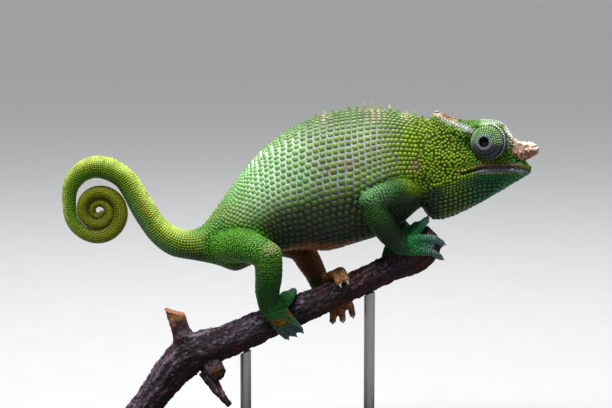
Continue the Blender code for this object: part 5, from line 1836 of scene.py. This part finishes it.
@dataclass
class Perch:
    """The cut branch with its rough bark, broken stub, sawn knot and twig."""

    branch: Branch
    voxel: float = 0.42
    knot_at: tuple = (-32.6, 32.0)

    def show(self, material: Material) -> None:
        """Puts the branch in the scene: fused ovals, then bark ridges that run along the stem."""
        rows = dense(BRANCH, 150)
        along = headed(rows[:, :2])
        angle = turns_of(64)[None]
        x, z, high, wide = (column[:, None] for column in rows.T)
        lift = (high - 0.35) * np.cos(angle)
        out = (wide - 0.35) * np.sin(angle)
        rings = np.stack((x - along[:, 1:] * lift, out, z + along[:, :1] * lift), axis=-1)
        forms = [lofted(rings)]
        forms += [tube(route, 28, 20, domed=False, grow=-0.25) for route in (STUB, SAWN_KNOT, TWIG)]
        form = Piece.fused(Form.joined(forms), self.voxel, 2)
        self._break_stub(form)
        points, normal = form.points, normals_of(form)
        length, turn = self.branch.around(points)
        bark, wide_bark, fine_bark = (
            np.column_stack((length / stretch, 7 * np.cos(turn), 7 * np.sin(turn)))
            for stretch in (4.5, 2.2, 2.0)
        )
        ridge = 1 - 2 * np.abs(grain(bark, 1.5, 31)) ** 0.6
        plates = grain(wide_bark, 2.4, 32)
        crumbs = grain(fine_bark, 0.75, 37)
        move = 0.46 * ridge + 0.34 * plates + 0.3 * crumbs + 0.22 * grain(points, 0.9, 33) - 0.36
        form = Form(points + normal * move[:, None], form.faces)
        form.points[:, 2] = np.maximum(form.points[:, 2], self.branch.foot_z)
        tint = self._colours(form.points, normal, ridge, plates, bark)
        obj = Piece.shown("branch", form, tint, material, "bark")
        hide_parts("perch")

    def _break_stub(self, form: Form) -> None:
        """Slants the stub's broken top, which is higher and further out on its left; changes the form."""
        x, z = form.points[:, 0].copy(), form.points[:, 2].copy()
        top = ramp(z, 46, 52) * fall(x, -44, -40)
        form.points[:, 2] = z - 0.68 * (x + 48.0) * top
        form.points[:, 0] = x - 1.4 * top * fall(x, -51, -47)

    def _colours(self, points: Array, normal: Array, ridge: Array, plates: Array, bark: Array) -> Array:
        """Dark purple-grey bark, black in its cracks partly as painted shade, with grey crowns, flecks and
        crust laid as a painted highlight on faces turned to the light, painted shade on the underside,
        red-brown patches and bare wood.

        Args:
            points: Places on the branch.
            normal: Directions out of it.
            ridge: How high the bark's ridges stand there.
            plates: How high its plates stand.
            bark: The places laid flat along the stem.

        Returns:
            The colours, one row a point.
        """
        x, y, z = points.T
        up, at_stub = normal[:, 2], fall(x, -44, -40)
        # Grey flecks, specks and a pale crust are laid only on faces turned up and toward the light: painted
        # highlight over the bark's own grey and lichen.
        fleck = ramp(grain(bark, 0.7, 35), 0, 0.5) * ramp(up, -0.4, 0.6) * (0.45 + 0.55 * fall(x, -20, -4))
        speck = ramp(grain(points, 0.8, 38), 0.35, 0.65) * ramp(up - 0.3 * normal[:, 1], -0.4, 0.7)
        crust = ramp(grain(points, 0.55, 40), -0.25, 0.25) * ramp(up, 0.1, 0.7)
        shreds = 1.4 * grain(points * np.array((1, 1, 0.35)), 1.2, 36)
        broken = ramp(z - 52.4 + shreds, -0.8, 0.8) * at_stub
        slope = fall(x + shreds, -51.5, -49.5) * ramp(z, 44, 50) * at_stub
        knot_x, knot_z = self.knot_at
        knot = bump(x, knot_x, 3.2) * bump(z, knot_z, 3.2) * fall(y, -9.6, -8.6)
        rings = 0.75 + 0.25 * np.sin(np.hypot(x - knot_x, z - knot_z) * 6)
        return layered(
            Tone.BARK,
            (Tone.BARK_RED, ramp(grain(points, 8, 34), 0.15, 0.6) * 0.7),
            (Tone.BARK_GREY, fleck * ramp(ridge, -0.3, 0.5) * 0.85),
            # Black in the cracks, partly painted shade.
            (Tone.BARK_DARK, ramp(-ridge - 0.4 * plates, -0.15, 0.55) * 0.9),
            (Tone.BARK_RED, ramp(grain(points, 1.3, 39), 0.3, 0.6) * 0.6),
            (Tone.BARK_GREY, speck * 0.6),
            # Painted shade on the underside.
            (Tone.BARK_RED.light * 0.5, ramp(-up, 0.1, 0.8) * 0.5),
            (Tone.BARK_GREY.light * 1.5, crust * (0.9 * bump(x, -17.5, 5) + 0.35 * fall(x, -60, -50))),
            (Tone.WOOD.light * (0.8 + 0.15 * shreds)[:, None], np.maximum(broken, slope * 0.7)),
            (Tone.BARK_RED, ramp(x + z, 138.5, 141.5) * 0.8),
            (Tone.WOOD.light * 0.5 * rings[:, None], knot * 0.8),
            (Tone.WOOD.light * 0.8, fall(z, BRANCH_FOOT_Z + 0.02, BRANCH_FOOT_Z + 0.2)),
        )


class Socket(Enum):
    """Names of the sockets on the surface shader."""

    COLOUR = "Base Color"
    ROUGH = "Roughness"
    NORMAL = "Normal"


class Graph:
    """A material with its surface shader and the nodes that feed it."""

    def __init__(self, name: str, values: dict) -> None:
        """Starts the material and gives sockets of its shader their values."""
        self.material = bpy.data.materials.new(name)
        self.material.use_nodes = True
        self.shader = self.feed(self.material.node_tree.nodes["Principled BSDF"], values)
        self.place = self.add("TexCoord", {}).outputs["Object"]

    def feed(self, node: bpy.types.Node, inputs: dict) -> bpy.types.Node:
        """Links each input that is another node's socket and sets the others, all by name."""
        for name, value in inputs.items():
            if isinstance(value, Link):
                self.material.node_tree.links.new(value, node.inputs[name])
            else:
                node.inputs[name].default_value = value
        return node

    def add(self, kind: str, inputs: dict) -> bpy.types.Node:
        """Adds a node, named by the end of its type, with its inputs."""
        return self.feed(self.material.node_tree.nodes.new(f"ShaderNode{kind}"), inputs)

    def noise(self, inputs: dict, stretch: tuple = (1.0, 1.0, 1.0)) -> Link:
        """Noise from 0 to 1 on the piece's own coordinates, stretched along the axes."""
        place = self.add("Mapping", {"Vector": self.place, "Scale": stretch}).outputs["Vector"]
        return self.add("TexNoise", {"Vector": place, **inputs}).outputs["Fac"]

    def spread(self, value: Link, low: float, high: float) -> Link:
        """A value from 0 to 1 laid over a range."""
        return self.add("MapRange", {"Value": value, "To Min": low, "To Max": high}).outputs["Result"]

    def tones(self, value: Link, *stops: tuple) -> Link:
        """A value from 0 to 1 as a colour between two, each given with its place."""
        node = self.add("ValToRGB", {"Fac": value})
        for element, (position, colour) in zip(node.color_ramp.elements, stops):
            element.position = position
            element.color = (*colour, 1)
        return node.outputs["Color"]

    def finished(self, colour: object, rough: object, relief: dict) -> Material:
        """Feeds the shader.

        Args:
            colour: A socket, or four numbers.
            rough: A socket, or one number.
            relief: Height, strength and distance of the bumps.

        Returns:
            The material.
        """
        bumps = self.add("Bump", relief).outputs["Normal"]
        sockets = {Socket.COLOUR.value: colour, Socket.ROUGH.value: rough, Socket.NORMAL.value: bumps}
        self.feed(self.shader, sockets)
        return self.material


@dataclass(frozen=True)
class Finish:
    """A surface whose colour comes from the piece's Tint, with fine mottling, gloss changes and bumps."""

    name: str
    rough_low: float = 0.42
    rough_high: float = 0.62
    mottle: float = 0.18
    mottle_size: float = 900.0
    pit_size: float = 2600.0
    pit_depth: float = 0.00006
    specular: float = 0.5
    coat: float = 0.0

    def made(self) -> Material:
        """Builds the material."""
        shine = {"Specular IOR Level": self.specular, "Coat Weight": self.coat, "Coat Roughness": 0.05}
        graph = Graph(self.name, shine)
        tint = graph.add("Attribute", {})
        tint.attribute_name = "Tint"
        noise = graph.noise({"Scale": self.mottle_size, "Detail": 4.0})
        tinted = graph.add("VectorMath", {})
        tinted.operation = "SCALE"
        shade = graph.spread(noise, 1.0 - self.mottle, 1.0 + self.mottle)
        graph.feed(tinted, {0: tint.outputs["Color"], "Scale": shade})
        pits = graph.add("TexVoronoi", {"Vector": graph.place, "Scale": self.pit_size}).outputs["Distance"]
        rough = graph.spread(noise, self.rough_low, self.rough_high)
        relief = {"Height": pits, "Strength": 0.6, "Distance": self.pit_depth}
        return graph.finished(tinted.outputs["Vector"], rough, relief)


@dataclass(frozen=True)
class StainedWood:
    """Dark stained wood of the base plate, with grain along X."""

    name: str = "stained_wood"
    dark: tuple = (0.012, 0.008, 0.006)
    light: tuple = (0.055, 0.034, 0.022)

    def made(self) -> Material:
        """Builds the material."""
        graph = Graph(self.name, {})
        noise = graph.noise({"Scale": 2.2, "Detail": 8.0, "Distortion": 0.6}, (12.0, 160.0, 160.0))
        tones = graph.tones(noise, (0.32, self.dark), (0.72, self.light))
        relief = {"Height": noise, "Strength": 0.25, "Distance": 0.0001}
        return graph.finished(tones, graph.spread(noise, 0.3, 0.46), relief)


@dataclass(frozen=True)
class BrushedSteel:
    """Steel of the rods, brushed round them."""

    name: str = "brushed_steel"
    colour: tuple = (0.3, 0.3, 0.31, 1)

    def made(self) -> Material:
        """Builds the material."""
        graph = Graph(self.name, {"Metallic": 1.0})
        noise = graph.noise({"Scale": 1.0, "Detail": 3.0}, (200.0, 200.0, 9000.0))
        relief = {"Height": noise, "Strength": 0.2, "Distance": 0.00002}
        return graph.finished(self.colour, graph.spread(noise, 0.4, 0.55), relief)


@dataclass
class Stand:
    """The flat base plate and the two rods that hold the branch."""

    length: float = 150.0
    depth: float = 62.0
    height: float = 8.0
    corner: float = 10.0
    edge: float = 1.2

    def show(self, wood: Material, steel: Material) -> None:
        """Puts a finely rounded plate in place of the plain one and gives the rods their steel."""
        angle = turns_of(96) + math.pi / 96
        long, deep = self.length / 2 - self.corner, self.depth / 2 - self.corner
        corner = np.stack((np.sign(np.cos(angle)) * long, np.sign(np.sin(angle)) * deep), axis=-1)
        way = np.stack((np.cos(angle), np.sin(angle)), axis=-1)
        turn = np.linspace(0, math.pi / 2, 6)
        inset = np.concatenate(([0.4], np.zeros(2), self.edge * (1 - np.cos(turn)), [3.0, 8.0]))
        edge = self.height - self.edge * (1 - np.sin(turn))
        level = np.concatenate(([0.0, 0.4, 4.0], edge, [self.height] * 2))
        outline = corner[None] + way[None] * (self.corner - inset)[:, None, None]
        heights = np.broadcast_to(level[:, None, None], (len(level), len(angle), 1))
        rings = np.concatenate((outline, heights), axis=-1)
        obj = Piece.shown("base_plate", lofted(rings), None, wood, "stand")
        obj.data.set_sharp_from_angle(angle=math.radians(40))
        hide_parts("stand_base")
        for name in ("stand_rod_1", "stand_rod_2"):
            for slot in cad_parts[name].material_slots:
                slot.material = steel
            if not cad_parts[name].material_slots:
                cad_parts[name].data.materials.append(steel)


@dataclass
class Studio:
    """Pale floor, soft lights and the camera at the photo's viewing angle."""

    target: tuple = (0.0024, 0.0, 0.0992)
    distance: float = 0.68
    elevation: float = math.radians(7)
    wide: float = 0.2448
    floor_half: float = 90.0
    sensor: float = 36.0

    def build(self) -> None:
        """Makes the floor, the lights, the world and the camera."""
        scene = bpy.context.scene
        scene.view_settings.view_transform = "Standard"
        floor = bpy.data.objects.new("floor", self._floor())
        scene.collection.objects.link(floor)
        floor.visible_diffuse = False
        self._light("key", (-0.24, -0.3, 1.00), 0.36, 12.0)
        self._light("top", (0.06, 0.16, 0.95), 0.5, 9.0)
        self._light("fill", (0.75, -0.7, 0.3), 0.6, 1.0)
        world = bpy.data.worlds.new("studio")
        scene.world = world
        world.use_nodes = True
        sky = world.node_tree.nodes["Background"].inputs
        sky["Color"].default_value = (0.92, 0.94, 1.0, 1)
        sky["Strength"].default_value = 0.14
        data = bpy.data.cameras.new("camera")
        data.sensor_width = self.sensor
        data.lens = self.sensor * self.distance / self.wide
        data.clip_start = 0.01
        data.clip_end = 200.0
        camera = bpy.data.objects.new("camera", data)
        back = Vector((0.0, -math.cos(self.elevation), math.sin(self.elevation)))
        camera.location = Vector(self.target) + back * self.distance
        camera.rotation_euler = (-back).to_track_quat("-Z", "Y").to_euler()
        scene.collection.objects.link(camera)
        scene.camera = camera

    def _floor(self) -> bpy.types.Mesh:
        """A wide flat square with a faintly mottled pale finish."""
        mesh = bpy.data.meshes.new("floor")
        far = self.floor_half
        mesh.from_pydata([(-far, -far, 0), (far, -far, 0), (far, far, 0), (-far, far, 0)], [], [(0, 1, 2, 3)])
        glow = {"Roughness": 0.75, "Emission Color": (0.97, 0.98, 1.0, 1), "Emission Strength": 0.3}
        graph = Graph("floor", glow)
        tones = graph.tones(graph.noise({"Scale": 40.0}), (0.0, (0.34,) * 3), (1.0, (0.38,) * 3))
        graph.feed(graph.shader, {Socket.COLOUR.value: tones})
        mesh.materials.append(graph.material)
        return mesh

    def _light(self, name: str, place: tuple, size: float, power: float) -> None:
        """A square soft light that faces the animal."""
        data = bpy.data.lights.new(name, "AREA")
        data.size = size
        data.energy = power
        light = bpy.data.objects.new(name, data)
        light.location = place
        light.rotation_euler = (Vector(place) - Vector(self.target)).to_track_quat("Z", "Y").to_euler()
        bpy.context.scene.collection.objects.link(light)


def main() -> None:
    """Builds the classes in order and reports each piece."""
    logging.basicConfig(level=logging.INFO, format="%(message)s")
    Studio().build()
    body, head, branch = Body(), Head(), Branch()
    legs = Legs(branch)
    markings = Markings(body, head, legs)
    hide = Finish("hide", 0.48, 0.68, specular=0.2).made()
    scale = Finish("scale", 0.36, 0.56, 0.16, 1300.0, 4200.0, 0.00003, 0.25).made()
    horn = Finish("horn", 0.36, 0.58, 0.16, 700.0, 2400.0, 0.00008).made()
    eye = Finish("wet_eye", 0.06, 0.1, 0.05, 400.0, 200.0, 0.0, 0.12, 0.15).made()
    bark = Finish("bark", 0.7, 0.92, 0.4, 500.0, 700.0, 0.0005, 0.3).made()
    skin = Skin(body, head, legs, markings)
    skin.build()
    skin.show(hide)
    coat = Coat(skin)
    coat.build()
    coat.show(scale)
    Crest(skin).show(scale)
    for side in (-1, 1):
        Eye(head, side).show(hide, scale, eye)
        Horn(side).show(horn)
    Claws(legs).show(horn)
    Perch(branch).show(bark)
    Stand().show(StainedWood().made(), BrushedSteel().made())


if __name__ == "__main__":
    main()
